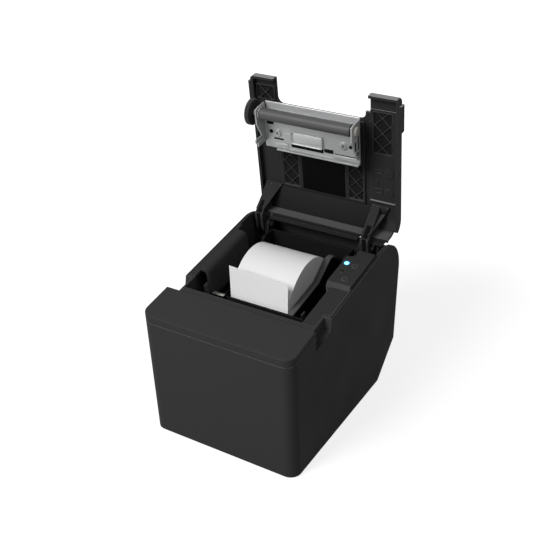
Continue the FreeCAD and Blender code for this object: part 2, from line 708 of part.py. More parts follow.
# Rear deck with hinge posts, and the hinge pins
left_arm = d.left_arm_inset - half_width
right_arm = half_width - d.right_arm_inset
arm_half = d.arm_width / 2
deck_front = well_back + d.fit_gap
deck_rear = d.case_depth - d.wall * 1.6
deck_parts = [block(
    "deck_plate", case, (-cover_half, cover_half), (deck_front, deck_rear), (d.deck_level, d.deck_level + d.wall),
)]
deck_holes = []
pin_parts = []
for name, inner_face, direction in (("left", left_arm + arm_half, 1), ("right", right_arm - arm_half, -1)):
    near = inner_face + d.post_gap * direction
    far = near + d.post_width * direction
    post_span = (near, far) if direction > 0 else (far, near)
    pin_far = inner_face - (d.arm_width + d.fit_gap) * direction
    pin_span = (pin_far, far) if direction > 0 else (far, pin_far)
    deck_parts.append(block(
        "post_stem_" + name, case, post_span, (hinge_run - d.post_half, hinge_run + d.post_half),
        (d.deck_level + d.wall / 2, hinge_rise),
    ))
    deck_parts.append(cross_rod("post_head_" + name, case, post_span, hinge_run, hinge_rise, d.post_half))
    deck_holes.append(cross_rod(
        "post_hole_" + name, case, post_span, hinge_run, hinge_rise, d.pin_radius + d.running_gap / 2,
    ))
    pin_parts.append(cross_rod("pin_" + name, case, pin_span, hinge_run, hinge_rise, d.pin_radius))
rear_deck = carved("rear_deck", fused("deck_solid", deck_parts), deck_holes)
hinge_pins = fused("hinge_pins", pin_parts)

# Lid shell, modelled about the hinge and standing open
lid_room_top = top_level - d.lid_wall
skirt_level = band_level + d.fit_gap
lip_inner = d.lip_start + d.lid_wall
skirt_end = d.lip_start + d.lid_rear_round * 3
lid_outer = prism(
    "lid_outer", opened, "YZ_Plane",
    [
        (-d.lid_reach, skirt_level), (-d.lid_reach, top_level), (-d.lip_start, top_level), (-d.lip_start, 0),
        (-skirt_end, 0), (-skirt_end, skirt_level),
    ],
    -half_width, d.case_width,
)
rounded(
    lid_outer, d.lid_rear_round,
    lambda edge: along(edge, 0) and abs(middle(edge).z - top_level.value) < 1e-3
    and middle(edge).y > -d.lid_reach.value / 2,
)
rounded(
    lid_outer, d.ear_round,
    lambda edge: along(edge, 2) and middle(edge).y < -(d.lid_reach - d.lid_wall).value,
)
rounded(
    lid_outer, d.edge_round,
    lambda edge: abs(middle(edge).z - top_level.value) < 1e-3
    and middle(edge).y < -(d.lip_start + d.lid_rear_round).value - 1e-3,
)
lid_inner = prism(
    "lid_inner", opened, "YZ_Plane",
    [
        (-(d.lid_reach - d.lid_wall), -d.wall), (-(d.lid_reach - d.lid_wall), lid_room_top),
        (-lip_inner, lid_room_top), (-lip_inner, -d.wall),
    ],
    -inner_half, inner_half * 2,
)
rounded(
    lid_inner, d.lid_rear_round - d.lid_wall,
    lambda edge: along(edge, 0) and abs(middle(edge).z - lid_room_top.value) < 1e-3
    and middle(edge).y > -d.lid_reach.value / 2,
)
side_trims = []
for name, span in (
        ("left", (-(half_width + d.wall), -lip_half_width)), ("right", (lip_half_width, half_width + d.wall))):
    side_trims.append(block(
        "side_trim_" + name, opened, span, reach(0, skirt_end + d.wall), (-d.wall, skirt_level),
    ))
mouth = prism(
    "lid_mouth", opened, "XY_Plane",
    [
        (mouth_left, -d.mouth_bottom), (mouth_left, -(d.lid_reach + d.wall)),
        (mouth_right + d.mouth_step_width, -(d.lid_reach + d.wall)),
        (mouth_right + d.mouth_step_width, -d.mouth_step), (mouth_right, -d.mouth_step),
        (mouth_right, -d.mouth_bottom),
    ],
    0, top_level + d.wall,
)
rounded(
    mouth, d.mouth_round,
    lambda edge: along(edge, 2) and abs(middle(edge).y + d.mouth_bottom.value) < 1e-3,
)
tabs = []
for name, span in (
        ("left", (-(half_width + d.tab_width), -(half_width - d.lid_wall / 2))),
        ("right", (half_width - d.lid_wall / 2, half_width + d.tab_width))):
    tabs.append(block(
        "tab_" + name, opened, span, reach(d.tab_start, d.tab_start + d.tab_length),
        (skirt_level, top_level - d.tab_drop),
    ))
lid_shell = fused("lid_shell", [carved("lid_body", lid_outer, [lid_inner, mouth] + side_trims)] + tabs)

# Plates on the inside of the lid
frame_low = lid_room_top - d.fit_gap / 2 - d.frame_thickness
frame_high = lid_room_top - d.fit_gap / 2
boss_low = d.bracket_level + d.sheet_metal
window_span = reach(d.window_start, d.window_start + d.window_length)
bosses = []
boss_holes = []
screw_parts = []
bracket_ways = []
for name, side in (("left", boss_left), ("right", boss_right)):
    bosses.append(post("boss_" + name, opened, side, -d.boss_reach, (boss_low, frame_high), d.boss_radius))
    boss_holes.append(post(
        "boss_hole_" + name, opened, side, -d.boss_reach, (boss_low, boss_low + d.bracket_screw_length),
        d.screw_radius + d.running_gap,
    ))
    bracket_ways.append(post(
        "bracket_way_" + name, opened, side, -d.boss_reach, (0, top_level), d.screw_radius + d.running_gap,
    ))
    screw_parts.append(post(
        "bracket_head_" + name, opened, side, -d.boss_reach,
        (d.bracket_level - d.screw_head_height, d.bracket_level), d.screw_head_radius,
    ))
    screw_parts.append(post(
        "bracket_shank_" + name, opened, side, -d.boss_reach,
        (d.bracket_level, d.bracket_level + d.bracket_screw_length), d.screw_radius,
    ))
lid_frame = carved(
    "lid_frame",
    fused("lid_frame_solid", [block(
        "lid_frame_plate", opened, (frame_left, frame_right), reach(d.frame_start, d.frame_end),
        (frame_low, frame_high),
    )] + bosses),
    [
        block(
            "frame_window_left", opened, (window_left, window_left + d.window_left_width), window_span,
            (frame_low - d.wall, lid_room_top),
        ),
        block(
            "frame_window_right", opened, (window_right, window_right + d.window_right_width), window_span,
            (frame_low - d.wall, lid_room_top),
        ),
    ] + boss_holes,
)
bracket_screws = fused("bracket_screws", screw_parts)
guide_plate = block(
    "guide_plate", opened, (plate_left, plate_left + plate_width), window_span,
    (frame_low - d.plate_thickness, frame_low),
)
key_high = frame_high
key_low = key_high - d.key_plate_thickness
key_right = inner_half - d.wall / 2
key_plate = fused("key_plate", [
    carved(
        "key_sheet",
        block(
            "key_sheet_solid", opened, (key_plate_left, key_right), reach(d.key_plate_start, d.key_plate_end),
            (key_low, key_high),
        ),
        [
            block(
                "key_window", opened, (key_plate_left + d.key_window_margin, key_right - d.key_window_margin),
                reach(d.key_window_start, d.key_window_start + d.key_window_length), (key_low - d.wall, lid_room_top),
            ),
            block(
                "key_mouth_relief", opened, (key_plate_left, mouth_right + d.mouth_step_width + d.fit_gap),
                reach(d.mouth_bottom - d.fit_gap, d.lid_reach), (key_low - d.wall, lid_room_top),
            ),
        ],
    ),
    post("key_power", opened, button_side, -d.power_reach, (key_low - d.key_height, key_high), d.key_radius),
    post("key_feed", opened, button_side, -d.feed_reach, (key_low - d.key_height, key_high), d.key_radius),
])

# Hinge arms
arms = {}
for name, centre in (("left", left_arm), ("right", right_arm)):
    arm_span = (centre - arm_half, centre + arm_half)
    arm_shape = [
        (0, -d.arm_low), (-d.arm_heel, -d.arm_low), (-d.arm_reach, d.arm_tip), (-d.arm_reach, frame_high),
        (-(d.lip_start + d.lid_rear_round), frame_high), (-(lip_inner + d.fit_gap), top_level - d.lid_rear_round),
        (-(lip_inner + d.fit_gap), -d.fit_gap), (0, -d.fit_gap),
    ]
    web_shape = [
        (-d.arm_heel / 2, -d.arm_low), (-d.arm_heel, -d.arm_low), (-d.arm_reach, d.arm_tip),
        (-(d.arm_reach - d.arm_plate), d.arm_tip + d.arm_plate / 2),
        (-(d.arm_heel - d.arm_plate / 2), d.arm_plate - d.arm_low), (-d.arm_heel / 2, d.arm_plate - d.arm_low),
    ]
    parts = []
    knuckles = []
    for part, near in (("outer", arm_span[0]), ("inner", arm_span[1] - d.arm_plate)):
        parts.append(prism("arm_%s_%s" % (name, part), opened, "YZ_Plane", arm_shape, near, d.arm_plate))
        knuckles.append(cross_rod(
            "knuckle_%s_%s" % (name, part), opened, (near, near + d.arm_plate), 0, 0, d.knuckle_radius,
        ))
    parts.append(prism("arm_%s_web" % name, opened, "YZ_Plane", web_shape, arm_span[0], d.arm_width))
    arms[name] = carved(
        "hinge_arm_" + name, fused("arm_solid_" + name, parts + knuckles),
        [cross_rod(
            "arm_hole_" + name, opened, (arm_span[0] - d.wall, arm_span[1] + d.wall), 0, 0,
            d.pin_radius + d.running_gap,
        )],
    )
hinge_arm_left = arms["left"]
hinge_arm_right = arms["right"]

# Platen bracket
bracket_top = d.bracket_level + d.sheet_metal
bracket_parts = [
    block(
        "bracket_plate", opened, (bracket_left, bracket_right), reach(d.bracket_start, d.bracket_end),
        (d.bracket_level, bracket_top),
    ),
    block(
        "bracket_flange", opened, (boss_left, bracket_right),
        reach(d.bracket_start, d.bracket_start + d.sheet_metal), (d.bracket_level - d.lower_flange, bracket_top),
    ),
    block(
        "bracket_pad", opened, (pad_left, pad_left + d.pad_width), reach(d.pad_start, d.pad_start + d.pad_length),
        (d.bracket_level - d.pad_height, bracket_top),
    ),
]
bracket_holes = []
cheek_shape = [
    (-d.cheek_start, bracket_top), (-d.cheek_start, 1), (-(d.platen_reach - d.bush_radius * 2), -d.cheek_low),
    (-(d.cheek_end - 1), -d.cheek_low), (-d.cheek_end, -d.bush_radius), (-d.cheek_end, bracket_top),
]
for name, near in (("left", bracket_left), ("right", bracket_right - d.sheet_metal)):
    bracket_parts.append(prism("cheek_" + name, opened, "YZ_Plane", cheek_shape, near, d.sheet_metal))
    bracket_holes.append(cross_rod(
        "cheek_hole_" + name, opened, (near, near + d.sheet_metal), -d.platen_reach, -d.platen_drop,
        d.bush_radius + d.running_gap,
    ))
for name, shift, low in (("upper", 0, d.hook_low), ("lower", d.hook_pitch, d.hook_low - d.hook_width)):
    bracket_parts.append(block(
        "hook_" + name, opened, (bracket_left, bracket_left + d.sheet_metal),
        reach(d.hook_start - shift, d.hook_start - shift + d.hook_width), (-low, d.bracket_level),
    ))
platen_bracket = carved(
    "platen_bracket", fused("bracket_solid", bracket_parts), bracket_holes + bracket_ways,
)
blade_high = d.blade_level + d.blade_thickness
fixed_blade = block(
    "fixed_blade", opened, (bracket_left + d.sheet_metal, bracket_right - d.sheet_metal),
    reach(d.fixed_blade_start, d.fixed_blade_edge), (d.blade_level, blade_high),
)
blade_tie = block(
    "blade_tie", opened, (bracket_left + d.sheet_metal, bracket_right - d.sheet_metal),
    reach(d.fixed_blade_start, d.fixed_blade_start + d.blade_thickness), (d.bracket_level, blade_high),
)
fixed_blade = fused("fixed_blade_unit", [fixed_blade, blade_tie])
fixed_blade.Label = "cutter_counter_blade"
bush_parts = []
bush_holes = []
frame_left_in = bracket_left - d.frame_gap
frame_right_in = bracket_right + d.frame_gap
bush_spans = (
    ("left", (frame_left_in - d.sheet_metal, roller_left - d.flange_width / 2),
     (bracket_left + d.sheet_metal, roller_left - d.flange_width / 2)),
    ("right", (bracket_right - d.sheet_metal - d.fit_gap, frame_right_in + d.sheet_metal),
     (bracket_right, bracket_right + d.frame_gap / 2)),
)
for name, span, collar in bush_spans:
    bush_parts.append(cross_rod("bush_" + name, opened, span, -d.platen_reach, -d.platen_drop, d.bush_radius))
    bush_parts.append(cross_rod("collar_" + name, opened, collar, -d.platen_reach, -d.platen_drop, d.bush_flange))
    bush_holes.append(cross_rod(
        "bush_hole_" + name, opened, (span[0] - d.wall, span[1] + d.wall), -d.platen_reach, -d.platen_drop,
        d.shaft_radius + d.running_gap,
    ))
platen_bushes = carved("platen_bushes", fused("bush_solid", bush_parts), bush_holes)
wire_top = d.platen_reach
wire_level = d.shaft_radius - d.platen_drop + d.wire_radius + d.fit_gap / 2
wire_rise = d.bracket_level - wire_level
spring_wire = fused("spring_wire", [
    post("wire_foot", opened, wire_side, -d.wire_foot, (wire_level, d.bracket_level), d.wire_radius),
    block(
        "wire_run", opened, (wire_side - d.wire_radius, wire_side + d.wire_radius),
        reach(d.wire_foot - d.wire_radius, wire_top), (wire_level, wire_level + d.wire_radius * 2),
    ),
])

# Platen roller, shaft and gear
shaft_end = frame_right_in + d.sheet_metal + d.fit_gap
platen_shaft = cross_rod(
    "platen_shaft", opened, (gear_left, shaft_end), -d.platen_reach, -d.platen_drop, d.shaft_radius,
)
platen_roller = carved(
    "platen_roller",
    cross_rod(
        "roller_body", opened, (roller_left, roller_right), -d.platen_reach, -d.platen_drop, d.roller_radius,
    ),
    [cross_rod(
        "roller_bore", opened, (roller_left, roller_right), -d.platen_reach, -d.platen_drop, d.shaft_radius,
    )],
)
platen_gear = wheel(
    "platen_gear", d.gear_radius.value, d.tooth_height.value, d.gear_teeth.value, d.gear_width.value,
    d.shaft_radius.value,
)
put_across(platen_gear, opened, gear_left, -d.platen_reach, -d.platen_drop)

# Inner covers beside the paper well
cover_level = band_level - d.cover_level_drop
cover_under = cover_level - d.wall
left_rail = prism(
    "left_rail", closed, "XZ_Plane",
    [
        (-cover_half, cover_level), (left_cover_inner, cover_level), (left_cover_inner, cover_level - d.cover_skirt),
        (left_cover_inner - d.wall, cover_level - d.cover_skirt), (left_cover_inner - d.wall, cover_under),
        (-cover_half, cover_under),
    ],
    d.left_cover_start, d.left_cover_end - d.left_cover_start,
)
rounded(
    left_rail, d.cover_round,
    lambda edge: along(edge, 1) and abs(middle(edge).x - left_cover_inner.value) < 1e-3
    and abs(middle(edge).z - cover_level.value) < 1e-3,
)
rounded(
    left_rail, d.cover_round - d.wall,
    lambda edge: along(edge, 1) and abs(middle(edge).x - (left_cover_inner - d.wall).value) < 1e-3
    and abs(middle(edge).z - cover_under.value) < 1e-3,
)
scoop_reach = (hinge_run - scoop_back - d.scoop_wall - d.fit_gap - cover_level * sine(d.top_slope)) / slope_cos
left_strip = block(
    "left_strip", closed, (-cover_half, left_strip_inner),
    reach(d.left_cover_end - d.wall, scoop_reach), (cover_under, cover_level),
)
arm_slot_left = (left_arm - arm_half - d.arm_slot_gap, left_arm + arm_half + d.arm_slot_gap)
left_inner_cover = carved("left_inner_cover", fused("left_cover_solid", [left_rail, left_strip]), [block(
    "left_arm_slot", closed, arm_slot_left, reach(0, d.arm_slot_end), (-d.cover_skirt, top_level),
)])
panel_front = d.panel_end + d.panel_bevel
right_rail = prism(
    "right_rail", closed, "XZ_Plane",
    [
        (cover_half, cover_level), (right_cover_inner, cover_level),
        (right_cover_inner, cover_level - d.cover_skirt),
        (right_cover_inner + d.wall, cover_level - d.cover_skirt), (right_cover_inner + d.wall, cover_under),
        (cover_half, cover_under),
    ],
    panel_front + d.fit_gap, d.ledge_reach - d.fit_gap * 2 - panel_front,
)
right_inner_cover = carved("right_inner_cover", right_rail, [block(
    "right_rail_relief", closed, (half_width - d.scoop_depth - d.scoop_wall - d.fit_gap, half_width),
    reach(scoop_reach, d.ledge_reach + d.wall), (cover_level - d.cover_skirt, top_level),
)])

# Control panel, its buttons, lamps and board
panel_low = cover_level - d.cover_skirt
panel_right = inner_half - d.fit_gap
panel_outer = prism(
    "panel_outer", closed, "YZ_Plane",
    [
        (-panel_front, cover_under), (-panel_front, cover_level), (-d.panel_end, d.panel_level),
        (-d.panel_start, d.panel_level), (-d.panel_start, cover_under),
    ],
    panel_left, panel_right - panel_left,
)
panel_wall_plate = block(
    "panel_wall_plate", closed, (panel_left, panel_left + d.panel_wall), reach(d.panel_start, panel_front),
    (panel_low, cover_under + d.wall / 2),
)
arm_slot_right = (right_arm - arm_half - d.arm_slot_gap, right_arm + arm_half + d.arm_slot_gap)
slot_half = (arm_slot_right[1] - arm_slot_right[0]) / 2
room_left = panel_left + d.panel_wall
room_right = panel_right - d.panel_wall
room_span = reach(d.arm_slot_end + d.panel_wall, d.panel_end - d.panel_wall)
panel_ceiling = d.panel_level - d.panel_wall
panel_cuts = [
    block("panel_room", closed, (room_left, room_right), room_span, (panel_low, panel_ceiling)),
    block(
        "right_arm_slot", closed, arm_slot_right, reach(0, d.arm_slot_end - slot_half),
        (panel_low - d.wall, top_level),
    ),
    post(
        "right_slot_end", closed, right_arm, slot_half - d.arm_slot_end, (panel_low - d.wall, top_level), slot_half,
    ),
]
button_top = d.panel_level + d.button_rise
button_low = button_top - d.button_stem
buttons = {}
for name, spot in (("power", d.power_reach), ("feed", d.feed_reach)):
    panel_cuts.append(post(
        name + "_button_hole", closed, button_side, -spot, (panel_low, top_level), d.button_radius + d.button_gap,
    ))
    buttons[name] = fused(name + "_button", [
        post(name + "_cap", closed, button_side, -spot, (button_low, button_top), d.button_radius),
        post(
            name + "_collar", closed, button_side, -spot, (button_low, panel_ceiling - d.fit_gap),
            d.button_radius + d.button_gap * 4,
        ),
    ])
power_button = buttons["power"]
feed_button = buttons["feed"]
lamps = {}
for name, side, spot in (
        ("power_lamp", lamp_side, d.lamp_reach), ("error_lamp", lamp_window_side, d.lamp_window_reach)):
    panel_cuts.append(post(
        name + "_hole", closed, side, -spot, (panel_low, top_level), d.lamp_radius + d.running_gap,
    ))
    lamps[name] = post(
        name, closed, side, -spot, (d.panel_level + d.lamp_rise - d.lamp_stem, d.panel_level + d.lamp_rise),
        d.lamp_radius,
    )
power_lamp = lamps["power_lamp"]
error_lamp = lamps["error_lamp"]
control_panel = carved("control_panel", fused("panel_solid", [panel_outer, panel_wall_plate]), panel_cuts)
panel_board = block(
    "panel_board", closed, (room_left + d.fit_gap, room_right - d.fit_gap),
    reach(d.arm_slot_end + d.panel_wall + d.fit_gap, d.panel_end - d.panel_wall - d.fit_gap),
    (d.board_level - d.board_thickness, d.board_level),
)

# Printing mechanism under the front cover
mech_left = frame_left_in - d.sheet_metal
mech_right = frame_right_in + d.sheet_metal
cheek_low = -d.mech_low
mech_parts = []
mech_cuts = []
for name, near in (("left", mech_left), ("right", frame_right_in)):
    cheek_span = (near, near + d.sheet_metal)
    mech_parts.append(block(
        "mech_cheek_" + name, closed, cheek_span, reach(d.mech_start, d.mech_end), (cheek_low, d.mech_high),
    ))
    mech_parts.append(block(
        "mech_leg_" + name, case, cheek_span, (leg_front, leg_rear), (d.wall, d.leg_top),
    ))
    cut_span = (near - d.wall, near + d.wall * 2)
    seat_radius = d.bush_radius + d.fit_gap
    mech_cuts.append(cross_rod(
        "seat_round_" + name, closed, cut_span, -d.platen_reach, -d.platen_drop, seat_radius,
    ))
    mech_cuts.append(block(
        "seat_way_" + name, closed, cut_span, reach(d.platen_reach - seat_radius, d.platen_reach + seat_radius),
        (-d.platen_drop, top_level),
    ))
head_face = d.platen_reach + d.roller_radius + d.paper_gap
sink_face = head_face + d.head_thickness
sink_back = sink_face + d.sink_thickness
mech_parts.append(block(
    "mech_back", closed, (mech_left, mech_right), reach(d.mech_end - d.sheet_metal, d.mech_end),
    (cheek_low, d.head_high),
))
mech_cuts.append(cross_rod(
    "motor_way", case, (mech_left - d.wall, mech_left + d.wall * 2), feed_from_front, d.feed_height,
    d.stud_radius + d.fit_gap,
))
mechanism_frame = carved("mechanism_frame", fused("mech_solid", mech_parts), mech_cuts)
print_head = block(
    "print_head", closed, (roller_left, roller_right), reach(head_face, sink_face), (-d.head_low, d.head_high),
)
fin_cuts = []
fin_count = 8
for index in range(fin_count):
    fin_left = roller_left + d.fin_pitch * (index + 0.5)
    fin_cuts.append(block(
        "fin_cut_%d" % index, closed, (fin_left, fin_left + d.fin_width),
        reach(sink_face + d.sink_thickness / 2, sink_back + d.wall), (-d.head_low - d.wall * 2, d.head_high + d.wall),
    ))
head_heat_sink = carved(
    "head_heat_sink",
    block(
        "sink_body", closed, (frame_left_in + d.fit_gap, frame_right_in - d.fit_gap), reach(sink_face, sink_back),
        (-d.head_low - d.wall, d.head_high),
    ),
    fin_cuts,
)
spring_centre = (roller_left + roller_right) / 2
spring_span = (spring_centre - d.spring_width / 2, spring_centre + d.spring_width / 2)
mech_back_face = d.mech_end - d.sheet_metal
head_spring = prism(
    "head_spring", closed, "YZ_Plane",
    [
        (-mech_back_face, -d.head_low - d.wall * 2), (-mech_back_face, -d.head_low),
        (-(sink_back + d.spring_thickness), -d.head_low / 2), (-sink_back, -d.head_low / 2),
        (-(mech_back_face - d.spring_thickness), -d.head_low),
        (-(mech_back_face - d.spring_thickness), -d.head_low - d.wall * 2),
    ],
    spring_span[0], d.spring_width,
)

# Cutter
cutter_level = blade_high + d.cutter_gap
cutter_high = cutter_level + d.blade_thickness - d.cutter_gap
housing_low = d.mech_high + d.fit_gap
housing_high = housing_low + d.housing_height
cutter_back = d.cutter_edge + d.cutter_depth
pinion_reach = cutter_back + d.rack_length / 2
slot_end = cutter_back + d.rack_length + d.fit_gap
cutter_housing = carved(
    "cutter_housing",
    block(
        "housing_body", closed, (mech_left, mech_right), reach(d.housing_start, slot_end + d.wall),
        (housing_low, housing_high),
    ),
    [
        block(
            "blade_slot", closed, (cutter_left - d.fit_gap, cutter_right + d.fit_gap),
            reach(d.housing_start - d.wall, cutter_back + d.fit_gap),
            (cutter_level - d.cutter_gap, cutter_high + d.cutter_gap),
        ),
        block(
            "rack_slot", closed,
            (rack_left - d.fit_gap, rack_left + d.rack_width + d.pinion_radius * 2 + d.fit_gap * 2),
            reach(cutter_back - d.wall, slot_end),
            (cutter_level - d.cutter_gap, cutter_high + d.cutter_gap),
        ),
    ],
)
cutter_mid = (cutter_left + cutter_right) / 2
moving_blade = prism(
    "moving_blade", closed, "XY_Plane",
    [
        (cutter_left, -d.cutter_edge), (cutter_mid, -(d.cutter_edge + d.cutter_vee)),
        (cutter_right, -d.cutter_edge), (cutter_right, -cutter_back), (rack_left + d.rack_width, -cutter_back),
        (rack_left + d.rack_width, -(cutter_back + d.rack_length)), (rack_left, -(cutter_back + d.rack_length)),
        (rack_left, -cutter_back), (cutter_left, -cutter_back),
    ],
    cutter_level, d.blade_thickness - d.cutter_gap,
)
pinion_side = rack_left + d.rack_width + d.pinion_radius + d.fit_gap
cutter_pinion = wheel(
    "cutter_pinion", d.pinion_radius.value, d.tooth_height.value / 2, d.cutter_teeth.value,
    (cutter_high - cutter_level).value, 0,
)
closed.place(cutter_pinion, pinion_side, -pinion_reach, cutter_level)
cutter_motor = post(
    "cutter_motor", closed, pinion_side, -pinion_reach, (housing_low - d.motor_length, housing_low), d.motor_radius,
)

# Feed motor and gears, left of the mechanism
feed_motor = carved(
    "feed_motor",
    cross_rod(
        "feed_motor_body", case, (frame_left_in, frame_left_in + d.feed_motor_length), feed_from_front,
        d.feed_height, d.feed_motor_radius,
    ),
    [cross_rod(
        "feed_motor_bore", case, (frame_left_in, frame_left_in + d.feed_motor_length / 2), feed_from_front,
        d.feed_height, d.stud_radius + d.running_gap,
    )],
)
feed_shaft = cross_rod(
    "feed_shaft", case, (gear_left + d.gear_width / 2, frame_left_in + d.feed_motor_length / 3), feed_from_front,
    d.feed_height, d.stud_radius,
)
feed_wheel = wheel(
    "feed_wheel", d.feed_pinion_radius.value, d.tooth_height.value, d.feed_teeth.value, d.gear_width.value, 0,
)
put_across(feed_wheel, case, gear_left, feed_from_front, d.feed_height)
feed_pinion = fused("feed_pinion", [feed_wheel, feed_shaft])
platen_run, platen_rise = case_hinge.point(-d.platen_reach, -d.platen_drop)
gear_run = platen_run - feed_from_front
gear_rise = platen_rise - d.feed_height
gear_distance = root(gear_run * gear_run + gear_rise * gear_rise)
idler_radius = (gear_distance - d.gear_radius - d.feed_pinion_radius) / 2 - d.idler_gap
idler_share = (d.feed_pinion_radius + d.idler_gap + idler_radius) / gear_distance
idler_run = feed_from_front + gear_run * idler_share
idler_rise = d.feed_height + gear_rise * idler_share
idler_gear = wheel(
    "idler_gear", idler_radius.value, d.tooth_height.value, d.idler_teeth.value, d.gear_width.value,
    (d.stud_radius + d.running_gap).value,
)
put_across(idler_gear, case, gear_left, idler_run, idler_rise)
idler_stud = cross_rod("idler_stud", case, (gear_left, mech_left), idler_run, idler_rise, d.stud_radius)

# Boards, connectors and sensors
board_low = d.wall + d.standoff_height
main_board = block(
    "main_board", case, (main_board_left, main_board_right), (main_board_front, main_board_rear),
    (board_low, board_low + d.board_thickness),
)
tray_face = inner_back - d.tray_recess
tray_back = tray_face - d.tray_recess
tray_half = window_half + d.tray_rim
port_front = tray_face - d.port_depth
port_holes = []
ports = {}
for name, left, width, height in (
        ("power_inlet", d.inlet_left, d.inlet_size, d.inlet_size),
        ("data_port", d.data_left, d.data_width, d.data_height),
        ("drawer_port", d.drawer_left, d.drawer_width, d.drawer_height)):
    port_span = (left, left + width)
    port_rise = (d.port_level, d.port_level + height)
    port_holes.append(block(
        name + "_hole", case, (port_span[0] - d.running_gap, port_span[1] + d.running_gap),
        (tray_back - d.wall, tray_face + d.wall), (port_rise[0] - d.running_gap, port_rise[1] + d.running_gap),
    ))
    port_body = block(name + "_body", case, port_span, (port_front, tray_face), port_rise)
    if name == "power_inlet":
        socket = doc.addObject("Part::Cylinder", name + "_socket")
        socket.Radius = d.inlet_bore.value
        socket.Height = d.socket_depth.value
        bind(socket, "Radius", d.inlet_bore)
        bind(socket, "Height", d.socket_depth)
        socket_y, socket_z = case.point(tray_face, d.port_level + height / 2)
        socket_x = left + width / 2
        socket.Placement = FreeCAD.Placement(
            FreeCAD.Vector(socket_x.value, socket_y.value, socket_z.value),
            FreeCAD.Rotation(FreeCAD.Vector(1, 0, 0), 90),
        )
        bind(socket, ".Placement.Base.x", socket_x)
        bind(socket, ".Placement.Base.y", socket_y)
        bind(socket, ".Placement.Base.z", socket_z)
    else:
        socket = block(
            name + "_socket", case, (port_span[0] + d.port_wall, port_span[1] - d.port_wall),
            (tray_face - d.socket_depth, tray_face + d.wall), (port_rise[0] + d.port_wall, port_rise[1] - d.port_wall),
        )
    ports[name] = carved(name, port_body, [socket])
power_inlet = ports["power_inlet"]
data_port = ports["data_port"]
drawer_port = ports["drawer_port"]
connector_panel = carved(
    "connector_panel",
    block(
        "tray_solid", case, (-tray_half, tray_half), (tray_back, inner_back),
        (d.window_low - d.tray_rim, d.window_low + d.window_height + d.tray_rim),
    ),
    [block(
        "tray_room", case, (-window_half, window_half), (tray_face, inner_back + d.wall),
        (d.window_low, d.window_low + d.window_height),
    )] + port_holes,
)
paper_sensor = block(
    "paper_sensor", case, (well_span[0] - d.sensor_width, well_span[0]),
    (roll_from_front - d.sensor_length, roll_from_front), (d.roll_height - d.sensor_length * 2, d.roll_height - d.sensor_length),
)
lid_switch = block(
    "lid_switch", closed, (right_cover_inner + d.wall * 2, right_cover_inner + d.wall * 2 + d.sensor_width * 2),
    reach(d.switch_reach, d.switch_reach + d.sensor_length), (cover_under - d.sensor_length, cover_under),
)

sub_parts = [
    main_case, front_top_cover, bottom_cover, rubber_feet, case_screws, paper_well, roll_divider, paper_roll,
    roll_core, paper_sheet, rear_deck, hinge_pins, lid_shell, lid_frame, bracket_screws, guide_plate, key_plate,
    hinge_arm_left, hinge_arm_right, platen_bracket, fixed_blade, platen_bushes, spring_wire, platen_shaft,
    platen_roller, platen_gear, left_inner_cover, right_inner_cover, control_panel, power_button, feed_button,
    power_lamp, error_lamp, panel_board, mechanism_frame, print_head, head_heat_sink, head_spring, cutter_housing,
    moving_blade, cutter_pinion, cutter_motor, feed_motor, feed_pinion, idler_gear, idler_stud, main_board,
    power_inlet, data_port, drawer_port, connector_panel, paper_sensor, lid_switch,
]

doc.recompute()
for item in doc.Objects:
    if "Invalid" in item.State or "Error" in item.State:
        raise RuntimeError("%s did not build: %s" % (item.Label, item.State))
for item in sub_parts:
    if item.Shape.isNull() or not item.Shape.isValid() or item.Shape.Volume <= 0:
        raise RuntimeError("%s has no sound shape" % item.Label)

os.makedirs("parts", exist_ok=True)
for item in sub_parts:
    item.Shape.exportStep("parts/%s.step" % item.Label)
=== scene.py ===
import json
import math

import bpy
from mathutils import Matrix, Vector


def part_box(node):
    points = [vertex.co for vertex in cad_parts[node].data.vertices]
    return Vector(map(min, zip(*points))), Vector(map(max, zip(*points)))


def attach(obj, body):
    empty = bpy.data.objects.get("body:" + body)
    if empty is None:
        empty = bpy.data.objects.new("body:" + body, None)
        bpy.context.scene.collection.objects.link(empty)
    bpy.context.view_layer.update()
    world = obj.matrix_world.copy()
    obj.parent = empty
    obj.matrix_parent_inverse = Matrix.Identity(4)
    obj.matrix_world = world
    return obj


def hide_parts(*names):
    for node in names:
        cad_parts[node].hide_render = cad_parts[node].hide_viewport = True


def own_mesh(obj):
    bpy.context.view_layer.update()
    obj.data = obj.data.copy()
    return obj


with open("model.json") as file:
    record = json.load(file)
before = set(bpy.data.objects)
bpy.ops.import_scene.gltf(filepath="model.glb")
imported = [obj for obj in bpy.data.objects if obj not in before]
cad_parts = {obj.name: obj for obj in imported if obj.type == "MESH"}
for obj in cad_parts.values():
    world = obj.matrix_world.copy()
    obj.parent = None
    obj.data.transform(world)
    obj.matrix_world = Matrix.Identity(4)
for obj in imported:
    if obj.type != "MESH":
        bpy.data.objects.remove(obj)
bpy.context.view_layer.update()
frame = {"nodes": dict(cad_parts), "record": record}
mm = 0.001
print("frame loaded:", len(frame["nodes"]), "nodes")

# Places that the pieces below are set by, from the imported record
jointByName = {joint["name"]: joint for joint in frame["record"]["behaviour"]["joints"]}
hingeAt = Vector(jointByName["lid_hinge"]["pos_m"])
rollAt = Vector(jointByName["roll_spin"]["pos_m"])
slopeTurn = math.radians(10.0)
lidTurn = slopeTurn - math.radians(jointByName["lid_hinge"]["range_deg"][1])
lidPlace = Matrix.Translation(hingeAt) @ Matrix.Rotation(lidTurn, 4, "X")
slopePlace = Matrix.Translation(hingeAt) @ Matrix.Rotation(slopeTurn, 4, "X")

# Edges sharper than the first angle are bevelled, and flatter than the second shade smooth
edgeAngles = {"bevel": math.radians(40), "smooth": math.radians(35)}


